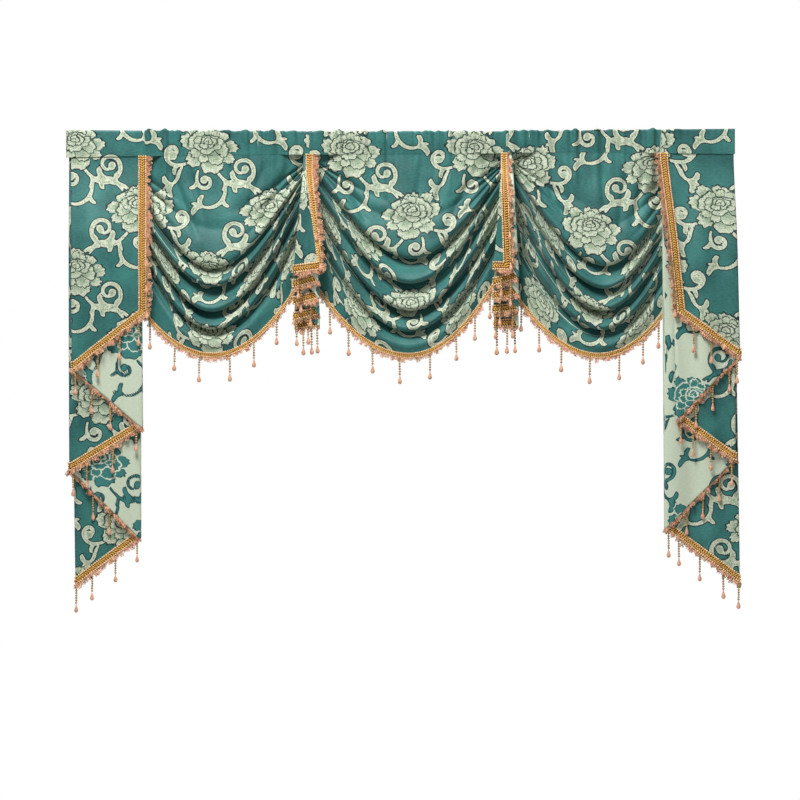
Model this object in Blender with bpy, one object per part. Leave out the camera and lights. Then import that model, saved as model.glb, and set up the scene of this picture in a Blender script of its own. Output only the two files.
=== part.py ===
# A waterfall valance: a gathered heading, three cowl swags, two zigzag cascade tails and two small jabots,
# all edged with a braid that carries bead drops. The front faces -Y, and z is 0 at the top of the heading.
import math
from collections import namedtuple

import bmesh
import bpy
from mathutils import Vector

# Driving sizes, in metres
CLOTH = 0.0015  # thickness of the cloth
BRAID = 0.0018  # thickness of the braid
CLEAR = 0.0009  # space between a cloth and the braid that is sewn to it
HEADING_HALF = 1.000  # the heading runs this far each way from the middle
SEAM_LAP = 0.010  # the pieces below reach this far up behind the heading
TOP_FRILL = 0.5  # a gather lifts the heading's top edge by this share of its height
GATHER_REACH = 0.24  # a gather dies out this far below the top
SWAG_TOP = 0.0026  # the top of a swag lies this far behind the heading
SIDE_TOP = 0.0225  # the sides of a swag pass behind its neighbours' layers: this far back at the top
SIDE_LOW = 0.0095  # and this far back lower down
SIDE_LIFT = 0.004  # the folds stand out this far at the sides
SIDE_LAP = 0.03  # the sides reach this share of a half width past where they show
LIP = 0.009  # a cowl fold hangs this far below its most forward line
SWAG_COLUMNS = 18
SEWN_BELOW = 0.003  # a swag is held flat down to here below the seam
TOP_LINES = ((0.36, 0.42), (0.72, 0.80))  # smooth top: share of the way to the first fold, and of its reach
POCKET_LINES = ((0.25, 1.0, 0.4), (0.50, 0.8, 1.0))  # below a fold: share of the way, of the lip, of the tuck
BULGE_POWER = 1.2  # a fold's forward reach falls off to the sides by this power
TUCK_FADE = 0.65  # share of a tuck's depth that is lost at the sides
TUCK_POWER = 3
SIDE_HEIGHTS = (0.10, 0.34)  # the sides come forward between these depths
SEWN_TURN = (0.72, 0.92)  # shares of the half width between which the sewn top goes back
FOLD_TURN = (0.72, 0.94)  # and between which the folds do
OPENS_AT = 0.080  # a cascade's layers lie flat together down to here
SEAM_GAP = 0.001  # a cascade's braid starts this far below the seam
SHARP_ANGLE = math.radians(50)

# How finely the cloths are divided
HEADING_ROWS = (0.0, 0.35, 1.0)  # shares of the way down
HEADING_STEP = 0.050
GATHER_SHOULDER = 1.6  # a gather dies out this many half widths from its middle
COLUMN_CLEAR = 0.008  # even columns keep this far from a gather's own
COLUMN_LEAST = 0.004  # and no two columns lie closer than this
POCKET_STEPS = 3  # from a swag's tuck to its next fold
FOLD_STEPS = 3  # round a cascade's fold
TAIL_STEPS = 2  # across each layer of a tail
JABOT_STEPS = 1
TAIL_LEVELS = (-0.110, -0.150, -0.200, -0.270, -0.360, -0.480)
JABOT_LEVELS = (-0.100, -0.125, -0.155, -0.190, -0.330)
SWAG_BRAID_WIDTH = 0.018
SWAG_FRINGE = 0.008  # the fringe stands this far out from the swag's hem
TAIL_BRAID_WIDTH = 0.028
TAIL_FRINGE = 0.010
JABOT_BRAID_WIDTH = 0.024
JABOT_FRINGE = 0.009
CORNER_CLEAR = 0.02  # past its corner a braid's next section keeps this share of the front layer away
MOST_STRIP = 0.95  # a braid down a front edge covers at most this share of the front layer

# One bead drop: a string of small beads that ends in a long bead
DROP_ROOT = 0.0030  # width of the drop where it leaves the braid
ROOT_MARGIN = 0.001
ROOT_LENGTH = 0.005
STRING_HALF = 0.0015
STRING_LENGTH = 0.044
BEAD_HALF_WIDE = 0.0066
BEAD_HALF_DEEP = 0.0042
BEAD_LENGTH = 0.025
BEAD_WIDEST = 0.68  # share of the way down it
BEAD_FOOT = 0.4  # its foot is this share as wide

CLOTH_COLOUR = (0.10, 0.30, 0.29)
CLOTH_ROUGHNESS = 0.55
BRAID_COLOUR = (0.72, 0.45, 0.16)
BRAID_ROUGHNESS = 0.50

# The heading's top edge and the seam under it, from left to right
Seam = namedtuple("Seam", "x depth top")
SEAM = (
    Seam(-1.0, 0.079, 0.004),
    Seam(-0.5, 0.071, 0.000),
    Seam(0.1, 0.069, -0.002),
    Seam(0.5, 0.063, 0.002),
    Seam(1.0, 0.069, 0.008),
)

# The heading's main gathers, from left to right
Gather = namedtuple("Gather", "x height half_width")
GATHERS = (
    Gather(-0.750, 0.005, 0.009),
    Gather(-0.704, 0.006, 0.008),
    Gather(-0.515, 0.005, 0.010),
    Gather(-0.462, 0.006, 0.008),
    Gather(-0.386, 0.007, 0.009),
    Gather(-0.320, 0.005, 0.008),
    Gather(-0.108, 0.005, 0.010),
    Gather(-0.056, 0.007, 0.008),
    Gather(0.052, 0.005, 0.009),
    Gather(0.142, 0.006, 0.009),
    Gather(0.368, 0.006, 0.010),
    Gather(0.440, 0.007, 0.009),
    Gather(0.522, 0.005, 0.008),
    Gather(0.590, 0.006, 0.010),
    Gather(0.752, 0.006, 0.008),
    Gather(0.826, 0.003, 0.012),
)

# A swag hangs between two gathered sides. drops holds where its bead drops hang.
Swag = namedtuple("Swag", "name left_x right_x folds hem drops")
# A cowl fold from the left side over the dip to the right side: the drops below the top, how far forward the
# fold stands at the dip, how deep the tuck below it is, and how round its curve is
Fold = namedtuple("Fold", "left dip_x dip right forward tuck roundness")
SWAGS = (
    Swag(
        "left",
        -0.7655,
        -0.2900,
        (
            Fold(0.200, -0.562, 0.403, 0.123, 0.050, 0.017, 0.60),
            Fold(0.254, -0.562, 0.457, 0.141, 0.058, 0.024, 0.75),
            Fold(0.303, -0.562, 0.532, 0.182, 0.064, 0.026, 0.90),
            Fold(0.359, -0.560, 0.584, 0.234, 0.064, 0.022, 1.20),
            Fold(0.424, -0.560, 0.636, 0.312, 0.062, 0.008, 1.80),
        ),
        Fold(0.551, -0.558, 0.678, 0.438, 0.056, 0.0, 3.00),
        (-0.746, -0.671, -0.598, -0.508, -0.438, -0.3705),
    ),
    Swag(
        "centre",
        -0.2497,
        0.2945,
        (
            Fold(0.111, 0.032, 0.374, 0.129, 0.050, 0.020, 0.60),
            Fold(0.158, 0.030, 0.448, 0.161, 0.060, 0.024, 0.70),
            Fold(0.214, 0.028, 0.529, 0.219, 0.066, 0.026, 0.90),
            Fold(0.280, 0.026, 0.591, 0.288, 0.066, 0.020, 1.10),
            Fold(0.362, 0.025, 0.642, 0.356, 0.062, 0.008, 1.70),
        ),
        Fold(0.474, 0.024, 0.679, 0.435, 0.056, 0.0, 3.00),
        (-0.2096, -0.154, -0.0837, -0.0027, 0.0876, 0.1645, 0.221, 0.266),
    ),
    Swag(
        "right",
        0.3379,
        0.7800,
        (
            Fold(0.108, 0.612, 0.395, 0.231, 0.050, 0.020, 0.60),
            Fold(0.137, 0.610, 0.463, 0.284, 0.060, 0.024, 0.75),
            Fold(0.187, 0.606, 0.529, 0.344, 0.066, 0.026, 0.85),
            Fold(0.260, 0.600, 0.586, 0.408, 0.066, 0.022, 1.10),
            Fold(0.359, 0.594, 0.644, 0.478, 0.062, 0.008, 1.60),
        ),
        Fold(0.485, 0.590, 0.679, 0.559, 0.056, 0.0, 3.00),
        (0.3633, 0.4141, 0.4799, 0.5636, 0.6503, 0.7221, 0.770),
    ),
)

# A cascade is one cloth that runs back and forth from its short front edge to its long outer edge.
# Each row is an edge or a fold of it: where it stands at the top and at the hem, and how low its hem is.
# It comes forward by forward_by below the top, and spreads sideways from spread_from on. narrowing is the
# share of its braid's width that shows at the foot of the front edge. drops holds the bead drops' shares
# along each layer's hem.
Cascade = namedtuple(
    "Cascade",
    "name rows front_top front_low forward_by spread_from pitch_top pitch_pale pitch_face narrowing drops",
)
Turn = namedtuple("Turn", "top_x hem_x hem_drop")
TAIL_SHAPE = (0.0026, -0.0400, 0.38, 0.085, 0.0027, 0.0080, 0.0115, 1.0)
TAILS = (
    Cascade(
        "left",
        (
            Turn(-0.7600, -0.7560, 0.543),
            Turn(-0.9850, -0.9780, 0.714),
            Turn(-0.7735, -0.7680, 0.886),
            Turn(-0.9915, -0.9880, 1.015),
            Turn(-0.7755, -0.7750, 1.216),
            Turn(-0.9915, -0.9720, 1.358),
        ),
        *TAIL_SHAPE,
        (
            (0.10, 0.36, 0.66, 0.97),
            (0.27, 0.55, 0.93),
            (0.40, 0.77, 0.97),
            (0.32, 0.56, 0.97),
            (0.37, 0.73, 0.98),
        ),
    ),
    Cascade(
        "right",
        (
            Turn(0.7760, 0.8250, 0.543),
            Turn(0.9960, 1.0110, 0.674),
            Turn(0.8080, 0.8220, 0.862),
            Turn(0.9960, 1.0000, 0.984),
            Turn(0.7810, 0.7880, 1.188),
            Turn(0.9950, 1.0150, 1.350),
        ),
        *TAIL_SHAPE,
        (
            (0.27, 0.55, 0.97),
            (0.14, 0.42, 0.70, 0.96),
            (0.27, 0.58, 0.95),
            (0.21, 0.45, 0.70),
            (0.03, 0.17, 0.46, 0.77, 0.98),
        ),
    ),
)
JABOT_SHAPE = (0.0026, -0.0660, 0.21, 0.13, 0.0021, 0.0036, 0.0082)
JABOTS = (
    Cascade(
        "left",
        (
            Turn(-0.2620, -0.2300, 0.416),
            Turn(-0.2900, -0.3180, 0.427),
            Turn(-0.2610, -0.2430, 0.452),
            Turn(-0.2900, -0.3180, 0.470),
            Turn(-0.2600, -0.2420, 0.502),
            Turn(-0.2900, -0.3170, 0.520),
            Turn(-0.2590, -0.2410, 0.550),
            Turn(-0.2900, -0.3170, 0.566),
            Turn(-0.2590, -0.2410, 0.584),
            Turn(-0.2900, -0.3150, 0.592),
        ),
        *JABOT_SHAPE,
        0.55,
        ((0.85,), (), (0.70,), (), (0.30,), (), (0.45, 0.93), (), (0.06, 0.30, 0.65)),
    ),
    Cascade(
        "right",
        (
            Turn(0.3190, 0.3290, 0.418),
            Turn(0.2990, 0.2770, 0.417),
            Turn(0.3360, 0.3520, 0.443),
            Turn(0.3000, 0.2770, 0.464),
            Turn(0.3370, 0.3520, 0.490),
            Turn(0.3000, 0.2760, 0.505),
            Turn(0.3370, 0.3530, 0.537),
            Turn(0.3000, 0.2760, 0.545),
            Turn(0.3370, 0.3520, 0.584),
            Turn(0.3000, 0.2780, 0.588),
        ),
        *JABOT_SHAPE,
        1.0,
        ((0.60,), (), (0.30,), (), (0.75,), (), (0.20, 0.92), (), (0.10, 0.42, 0.86)),
    ),
)


def clear_scene():
    for obj in list(bpy.data.objects):
        bpy.data.objects.remove(obj)


def material(name, colour, roughness):
    finish = bpy.data.materials.new(name)
    finish.use_nodes = True
    shader = finish.node_tree.nodes["Principled BSDF"]
    shader.inputs["Base Color"].default_value = (*colour, 1.0)
    shader.inputs["Roughness"].default_value = roughness
    return finish


def smooth_step(low, high, value):
    share = min(1.0, max(0.0, (value - low) / (high - low)))
    return share * share * (3 - 2 * share)


def mix(a, b, share):
    return a + (b - a) * share


def along_heading(x, column):
    """A column of SEAM's table at any place along the heading."""
    for near, far in zip(SEAM, SEAM[1:]):
        if x <= far.x:
            share = max(0.0, (x - near.x) / (far.x - near.x))
            return mix(getattr(near, column), getattr(far, column), share)
    return getattr(SEAM[-1], column)


def seam_depth(x):
    return along_heading(x, "depth")


def gather_height(x):
    """How far the heading's gathers push the cloth forward at its top."""
    return sum(g.height * math.exp(-(((x - g.x) / g.half_width) ** 2)) for g in GATHERS)


def add_object(name, mesh, finish):
    obj = bpy.data.objects.new(name, mesh)
    bpy.context.scene.collection.objects.link(obj)
    mesh.materials.append(finish)
    mesh.shade_smooth()
    mesh.set_sharp_from_angle(angle=SHARP_ANGLE)
    return obj


def cloth_object(name, rows, finish):
    """A cloth of even thickness about the middle surface that rows of points give."""
    mesh = bpy.data.meshes.new(name)
    shape = bmesh.new()
    verts = [[shape.verts.new(point) for point in row] for row in rows]
    for upper, lower in zip(verts, verts[1:]):
        for k in range(len(upper) - 1):
            shape.faces.new((upper[k], lower[k], lower[k + 1], upper[k + 1]))
    bmesh.ops.triangulate(shape, faces=shape.faces, quad_method="SHORT_EDGE")
    shape.to_mesh(mesh)
    shape.free()
    obj = add_object(name, mesh, finish)
    solid = obj.modifiers.new("thickness", "SOLIDIFY")
    solid.thickness = CLOTH
    solid.offset = 0.0
    return obj


# The heading


def heading_point(x, share):
    """A point of the heading's middle surface, at this share of the way down."""
    lift = gather_height(x)
    z = mix(along_heading(x, "top") + TOP_FRILL * lift, -seam_depth(x), share)
    return Vector((x, -lift * (1 + min(0.0, z) / GATHER_REACH), z))


def heading_columns():
    """Even steps along the heading, with more of them across each gather."""
    count = round(2 * HEADING_HALF / HEADING_STEP)
    even = {-HEADING_HALF + HEADING_STEP * k for k in range(1, count)}
    even |= {-HEADING_HALF, HEADING_HALF}
    shoulders = (-GATHER_SHOULDER, 0, GATHER_SHOULDER)
    near = {g.x + side * g.half_width for g in GATHERS for side in shoulders}
    even = {x for x in even if all(abs(x - other) > COLUMN_CLEAR for other in near)}
    ordered = []
    for x in sorted(even | near):
        if not ordered or x - ordered[-1] > COLUMN_LEAST:
            ordered.append(x)
    return ordered


def make_heading(finish):
    columns = heading_columns()
    rows = [[heading_point(x, share) for x in columns] for share in HEADING_ROWS]
    return cloth_object("heading", rows, finish)


# The swags


Line = namedtuple("Line", "left dip_x dip right forward roundness tuck")


def pocket_line(fold, below, lower, lip, tuck):
    """A line of the pocket between a fold and the fold or hem below it."""
    return Line(
        mix(fold.left, below.left, lower),
        fold.dip_x,
        fold.dip + lip * LIP,
        mix(fold.right, below.right, lower),
        fold.forward,
        mix(fold.roundness, below.roundness, lower / 2),
        tuck * fold.tuck,
    )


def swag_lines(swag):
    """The lines that the cloth passes through on its way down, from side to side. The first two are sewn."""
    first, hem = swag.folds[0], swag.hem
    seam = [seam_depth(x) for x in (swag.left_x, first.dip_x, swag.right_x)]
    fold_drops = (first.left, first.dip, first.right)
    lines = []
    for drop in (-SEAM_LAP, SEWN_BELOW):
        left, dip, right = (depth + drop for depth in seam)
        lines.append(Line(left, first.dip_x, dip, right, 0.0, 0.5, 0.0))
    for share, forward in TOP_LINES:
        left, dip, right = (mix(near, far, share) for near, far in zip(seam, fold_drops))
        lines.append(Line(left, first.dip_x, dip, right, first.forward * forward, first.roundness, 0.0))
    for fold, below in zip(swag.folds, (*swag.folds[1:], hem)):
        lines.append(Line(fold.left, fold.dip_x, fold.dip, fold.right, fold.forward, fold.roundness, 0.0))
        if below is not hem:
            lines += [pocket_line(fold, below, *row) for row in POCKET_LINES]
    for up in (SWAG_BRAID_WIDTH, 0.0):
        left, dip, right = (depth - up for depth in (hem.left, hem.dip, hem.right))
        lines.append(Line(left, hem.dip_x, dip, right, hem.forward, hem.roundness, 0.0))
    return lines


def line_point(swag, line, t, sewn):
    """Where a line of the swag stands: t is -1 where its left side shows, 0 at the dip and 1 at the right
    side. Sewn lines lie under the seam."""
    side_x, side = (swag.left_x, line.left) if t < 0 else (swag.right_x, line.right)
    x = mix(line.dip_x, side_x, abs(t))
    reach = math.hypot(1.0, line.roundness) - line.roundness
    rise = (math.hypot(t, line.roundness) - line.roundness) / reach
    z = -mix(line.dip, side, rise)
    if sewn:
        return Vector((x, mix(SWAG_TOP, SIDE_TOP, smooth_step(*SEWN_TURN, abs(t))), z))
    bulge = max(0.0, 1 - t * t) ** BULGE_POWER
    forward = line.forward * bulge + SIDE_LIFT * (1 - bulge)
    tucked = line.tuck * (1 - TUCK_FADE * min(1.0, abs(t)) ** TUCK_POWER)
    side_y = mix(SIDE_TOP + SIDE_LIFT, SIDE_LOW, smooth_step(*SIDE_HEIGHTS, -z))
    back = mix(SIDE_LOW, side_y, smooth_step(*FOLD_TURN, abs(t)))
    return Vector((x, back - forward + tucked, z))


def through(p0, p1, p2, p3, share):
    """A centripetal curve from p1 to p2, which doesn't overshoot where the points lie unevenly."""
    t1 = math.sqrt((p1 - p0).length)
    t2 = t1 + math.sqrt((p2 - p1).length)
    t3 = t2 + math.sqrt((p3 - p2).length)
    t = mix(t1, t2, share)
    a1 = p0.lerp(p1, t / t1)
    a2 = p1.lerp(p2, (t - t1) / (t2 - t1))
    a3 = p2.lerp(p3, (t - t2) / (t3 - t2))
    b1 = a1.lerp(a2, t / t2)
    b2 = a2.lerp(a3, (t - t1) / (t3 - t1))
    return b1.lerp(b2, (t - t1) / (t2 - t1))


def swag_column(swag, t):
    """The middle surface's points from the seam to the hem, at one place across the swag."""
    lines = swag_lines(swag)
    points = [line_point(swag, line, t, k < 2) for k, line in enumerate(lines)]
    points = [2 * points[0] - points[1], *points, 2 * points[-1] - points[-2]]
    column = []
    for k in range(1, len(points) - 2):
        below_tuck = k > 1 and lines[k - 1].tuck > lines[k - 2].tuck > 0
        steps = POCKET_STEPS if below_tuck else 1
        column += [through(*points[k - 1 : k + 3], step / steps) for step in range(steps)]
    return [*column, points[-2]]


def swag_steps():
    return [(1 + SIDE_LAP) * (2 * k / SWAG_COLUMNS - 1) for k in range(SWAG_COLUMNS + 1)]


def make_swag(swag, finish):
    columns = [swag_column(swag, t) for t in swag_steps()]
    rows = [list(row) for row in zip(*columns)]
    return cloth_object(f"swag_{swag.name}", rows, finish)


# The cascades


def side_of(cascade, k):
    """Which way fold k of a cascade points: 1 to the right, -1 to the left."""
    return 1 if cascade.rows[k].top_x > cascade.rows[k - 1 if k else 1].top_x else -1


def opened(cascade, z):
    """How far a cascade has opened from its sewn top, from 0 to 1."""
    return smooth_step(OPENS_AT, cascade.forward_by, -z)


def layer_y(cascade, layer, z):
    share = opened(cascade, z)
    y = mix(cascade.front_top, cascade.front_low, share)
    for k in range(layer):
        y += mix(cascade.pitch_top, cascade.pitch_face if k % 2 else cascade.pitch_pale, share)
    return y


def turn_x(cascade, k, z):
    turn = cascade.rows[k]
    share = (-z - cascade.spread_from) / (turn.hem_drop - cascade.spread_from)
    return mix(turn.top_x, turn.hem_x, min(1.0, max(0.0, share)))


def cascade_point(cascade, q, z):
    """The middle surface and its patterned side's direction. q counts layers and folds: 0 to 1 is the front
    layer, 1 to 2 the fold behind it, and so on."""
    part = min(int(q), 2 * len(cascade.rows) - 4)
    share = q - part
    layer = (part + 1) // 2
    last = len(cascade.rows) - 1
    if part % 2:
        side = side_of(cascade, layer)
        near, far = layer_y(cascade, layer - 1, z), layer_y(cascade, layer, z)
        radius = (far - near) / 2
        angle = math.pi * (share - 0.5)
        around = Vector((side * math.cos(angle), math.sin(angle), 0))
        centre = Vector((turn_x(cascade, layer, z) - side * radius, (near + far) / 2, z))
        return centre + around * radius, around * (1 if layer % 2 else -1)
    ends = []
    for k in (layer, layer + 1):
        radius = 0.0
        if 0 < k < last:
            radius = (layer_y(cascade, k, z) - layer_y(cascade, k - 1, z)) / 2
        ends.append(turn_x(cascade, k, z) - side_of(cascade, k) * radius)
    point = Vector((mix(*ends, share), layer_y(cascade, layer, z), z))
    return point, Vector((0, 1 if layer % 2 else -1, 0))


def hem_z(cascade, q):
    part = min(int(q), 2 * len(cascade.rows) - 4)
    layer = (part + 1) // 2
    near = cascade.rows[layer].hem_drop
    if part % 2:
        return -near
    return -mix(near, cascade.rows[layer + 1].hem_drop, q - part)


def cascade_steps(cascade, layer_steps):
    """The places along the cloth where its points lie: even steps on each layer and round each fold."""
    parts = 2 * len(cascade.rows) - 3
    steps = []
    for part in range(parts):
        count = FOLD_STEPS if part % 2 else layer_steps
        steps += [part + k / count for k in range(count)]
    return [*steps, float(parts)]


def heights(cascade, levels):
    """The heights that all columns of a cascade share: behind the heading, under its seam, and levels."""
    seam = -seam_depth(cascade.rows[0].top_x)
    return (seam + SEAM_LAP, seam - SEAM_GAP, *levels)


def make_cascade(cascade, kind, finish, levels, braid_width, layer_steps):
    levels = heights(cascade, levels)
    steps = cascade_steps(cascade, layer_steps)
    columns = []
    for q in steps:
        hem = hem_z(cascade, q)
        braid_top = hem + braid_width
        below = [mix(levels[-1], braid_top, share) for share in (0.5, 1.0)]
        columns.append([cascade_point(cascade, q, z)[0] for z in (*levels, *below, hem)])
    rows = [list(row) for row in zip(*columns)]
    if side_of(cascade, 1) < 0:
        rows = [row[::-1] for row in rows]
    return cloth_object(f"{kind}_{cascade.name}", rows, finish)


# The braids and their bead drops


def drop_rings(face_points):
    """The square rings of a bead drop that hangs from a face of the braid's lower edge."""
    near_back, near_front, far_front, far_back = face_points
    centre = sum(face_points, Vector()) / 4
    along = Vector((far_front.x - near_front.x, 0, 0)).normalized()
    across = Vector((0, near_front.y - near_back.y, 0)).normalized()
    rings = (
        (ROOT_LENGTH, STRING_HALF, STRING_HALF),
        (STRING_LENGTH, STRING_HALF, STRING_HALF),
        (STRING_LENGTH + BEAD_WIDEST * BEAD_LENGTH, BEAD_HALF_WIDE, BEAD_HALF_DEEP),
        (STRING_LENGTH + BEAD_LENGTH, BEAD_FOOT * BEAD_HALF_WIDE, BEAD_FOOT * BEAD_HALF_DEEP),
    )
    for drop, wide, deep in rings:
        middle = centre - Vector((0, 0, drop))
        yield [
            middle - along * wide - across * deep,
            middle - along * wide + across * deep,
            middle + along * wide + across * deep,
            middle + along * wide - across * deep,
        ]


def braid_object(name, stations, drops, finish):
    """A flat band through stations, each the four corners low back, low front, high front, high back.
    drops holds the stations where a bead drop hangs between that station and the next."""
    shape = bmesh.new()
    verts = [[shape.verts.new(corner) for corner in station] for station in stations]
    for k, (near, far) in enumerate(zip(verts, verts[1:])):
        for a in range(4):
            b = (a + 1) % 4
            if a == 0 and k in drops:
                last = [near[0], near[1], far[1], far[0]]
                for ring in drop_rings([v.co.copy() for v in last]):
                    made = [shape.verts.new(point) for point in ring]
                    for c in range(4):
                        d = (c + 1) % 4
                        shape.faces.new((last[c], last[d], made[d], made[c]))
                    last = made
                shape.faces.new(last)
            else:
                shape.faces.new((near[a], near[b], far[b], far[a]))
    shape.faces.new(verts[0])
    shape.faces.new(verts[-1][::-1])
    bmesh.ops.recalc_face_normals(shape, faces=shape.faces)
    bmesh.ops.triangulate(shape, faces=shape.faces, quad_method="SHORT_EDGE")
    mesh = bpy.data.meshes.new(name)
    shape.to_mesh(mesh)
    shape.free()
    return add_object(name, mesh, finish)


def corners(low, high, low_out, high_out):
    """The four corners of a braid's section, from its lower and upper line on the cloth's middle surface."""
    under, over = CLOTH / 2 + CLEAR, CLOTH / 2 + CLEAR + BRAID
    return [low + low_out * under, low + low_out * over, high + high_out * over, high + high_out * under]


def between(stations, k, share):
    return [a.lerp(b, share) for a, b in zip(stations[k], stations[k + 1])]


def with_drops(stations, places):
    """Adds two stations for each drop, a drop's width apart, so that its root is a face of its own.
    places holds pairs: the station before the drop and the share of the way to the next one."""
    found, drops = [], set()
    for k, station in enumerate(stations):
        found.append(station)
        if k + 1 == len(stations):
            break
        width = (stations[k + 1][0] - station[0]).length
        for _, share in sorted(place for place in places if place[0] == k):
            half = DROP_ROOT / 2 / width
            drops.add(len(found))
            found += [between(stations, k, share - half), between(stations, k, share + half)]
    return found, drops


def drop_places(stations, keys, wanted):
    """Where the wanted drops hang: the station before each and the share of the way to the next. keys holds
    each station's own place, in rising order."""
    places = []
    for value in wanted:
        k = max(n for n in range(len(keys) - 1) if keys[n] <= value)
        margin = (DROP_ROOT + ROOT_MARGIN) / (stations[k + 1][1] - stations[k][1]).length
        share = (value - keys[k]) / (keys[k + 1] - keys[k])
        places.append((k, min(1 - margin, max(margin, share))))
    return places


def make_swag_braid(swag, finish):
    """The braid on the front of a swag's hem, from side to side."""
    columns = [swag_column(swag, t) for t in swag_steps()]
    hem = [column[-1] for column in columns]
    stations = []
    for k, column in enumerate(columns):
        run = hem[min(k + 1, len(hem) - 1)] - hem[max(k - 1, 0)]
        away = Vector((run.z, 0, -run.x)).normalized()
        down = (column[-1] - column[-2]).normalized()
        out = (Vector((0, -1, 0)) + down * down.y).normalized()
        stations.append(corners(column[-1] + away * SWAG_FRINGE, column[-2], out, out))
    keys = [station[1].x for station in stations]
    stations, drops = with_drops(stations, drop_places(stations, keys, swag.drops))
    return braid_object(f"braid_swag_{swag.name}", stations, drops, finish)


def strip_share(cascade, width, z):
    """The share of the front layer's width that a strip this wide covers."""
    return min(MOST_STRIP, width / abs(turn_x(cascade, 1, z) - turn_x(cascade, 0, z)))


def make_cascade_braid(cascade, kind, levels, width, fringe, layer_steps, finish):
    """The braid down the short front edge, round the corner and along the hem to its end."""
    side = -side_of(cascade, 1)
    front = Vector((0, -1, 0))
    hem_0 = hem_z(cascade, 0)
    stations = []
    for z in heights(cascade, levels)[1:]:
        shown = mix(1.0, cascade.narrowing, z / hem_0)
        edge = cascade_point(cascade, 0, z)[0] + Vector((side * fringe * shown, 0, 0))
        inner = cascade_point(cascade, strip_share(cascade, width * shown, z), z)[0]
        stations.append(corners(edge, inner, front, front))
    keys = [k / len(stations) - 1 for k in range(len(stations))] + [0.0]
    inner_q = strip_share(cascade, width * cascade.narrowing, hem_0)
    low = cascade_point(cascade, 0, hem_0)[0] + Vector((side * fringe * cascade.narrowing, 0, -fringe))
    inner = cascade_point(cascade, inner_q, hem_z(cascade, inner_q) + width)[0]
    stations.append(corners(low, inner, front, front))
    for q in cascade_steps(cascade, layer_steps):
        if q <= inner_q + CORNER_CLEAR:
            continue
        hem = hem_z(cascade, q)
        high, high_out = cascade_point(cascade, q, hem + width)
        low, low_out = cascade_point(cascade, q, hem)
        stations.append(corners(low - Vector((0, 0, fringe)), high, low_out, high_out))
        keys.append(q)
    wanted = [2 * layer + share for layer, shares in enumerate(cascade.drops) for share in shares]
    stations, drops = with_drops(stations, drop_places(stations, keys, wanted))
    return braid_object(f"braid_{kind}_{cascade.name}", stations, drops, finish)


def main():
    clear_scene()
    cloth = material("jacquard", CLOTH_COLOUR, CLOTH_ROUGHNESS)
    braid = material("gold_braid", BRAID_COLOUR, BRAID_ROUGHNESS)
    make_heading(cloth)
    for swag in SWAGS:
        make_swag(swag, cloth)
        make_swag_braid(swag, braid)
    kinds = (
        ("tail", TAILS, TAIL_LEVELS, TAIL_BRAID_WIDTH, TAIL_FRINGE, TAIL_STEPS),
        ("jabot", JABOTS, JABOT_LEVELS, JABOT_BRAID_WIDTH, JABOT_FRINGE, JABOT_STEPS),
    )
    for kind, cascades, levels, width, fringe, layer_steps in kinds:
        for cascade in cascades:
            make_cascade(cascade, kind, cloth, levels, width, layer_steps)
            make_cascade_braid(cascade, kind, levels, width, fringe, layer_steps, braid)


main()
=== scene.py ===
# A swag valance: the finished cloths, braids, loop fringe and bead drops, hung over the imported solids.
import math

import bpy
import numpy as np
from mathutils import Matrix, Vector


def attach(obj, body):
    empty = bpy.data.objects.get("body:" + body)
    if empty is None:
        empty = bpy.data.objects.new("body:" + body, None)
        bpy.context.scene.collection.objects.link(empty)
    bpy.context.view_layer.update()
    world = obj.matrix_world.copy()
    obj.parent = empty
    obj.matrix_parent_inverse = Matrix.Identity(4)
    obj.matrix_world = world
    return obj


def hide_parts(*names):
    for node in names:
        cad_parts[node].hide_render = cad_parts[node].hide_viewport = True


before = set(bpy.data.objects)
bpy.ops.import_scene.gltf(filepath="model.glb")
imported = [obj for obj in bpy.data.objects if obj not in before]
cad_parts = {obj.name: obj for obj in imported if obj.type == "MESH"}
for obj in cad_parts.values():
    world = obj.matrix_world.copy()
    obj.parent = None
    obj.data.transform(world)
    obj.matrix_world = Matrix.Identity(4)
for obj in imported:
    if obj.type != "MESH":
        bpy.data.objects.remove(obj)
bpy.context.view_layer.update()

print("frame loaded:", len(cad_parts), "solids")

cloth = {"thickness": 0.0015, "step": 0.0052, "foldSteps": 6}  # step: how far apart the columns lie


def mix(a, b, share):
    return a + (b - a) * share


def smoothStep(low, high, value):
    share = np.clip((value - low) / (high - low), 0, 1)
    return share * share * (3 - 2 * share)


def unit(vectors):
    return vectors / np.maximum(np.linalg.norm(vectors, axis=-1, keepdims=True), 1e-9)


# The jacquard's repeat: a full flower with scrolls, dropped half a repeat and turned over beside itself

repeat = {
    "width": 0.372, "height": 0.380, "flowerRadius": 0.080, "flowerAt": (0.098, 0.105),
    "step": 0.0018,  # of the grid that holds the distance to the scrolls
    "reach": 0.03,  # strokes farther outside the repeat than this are left out
}

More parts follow.
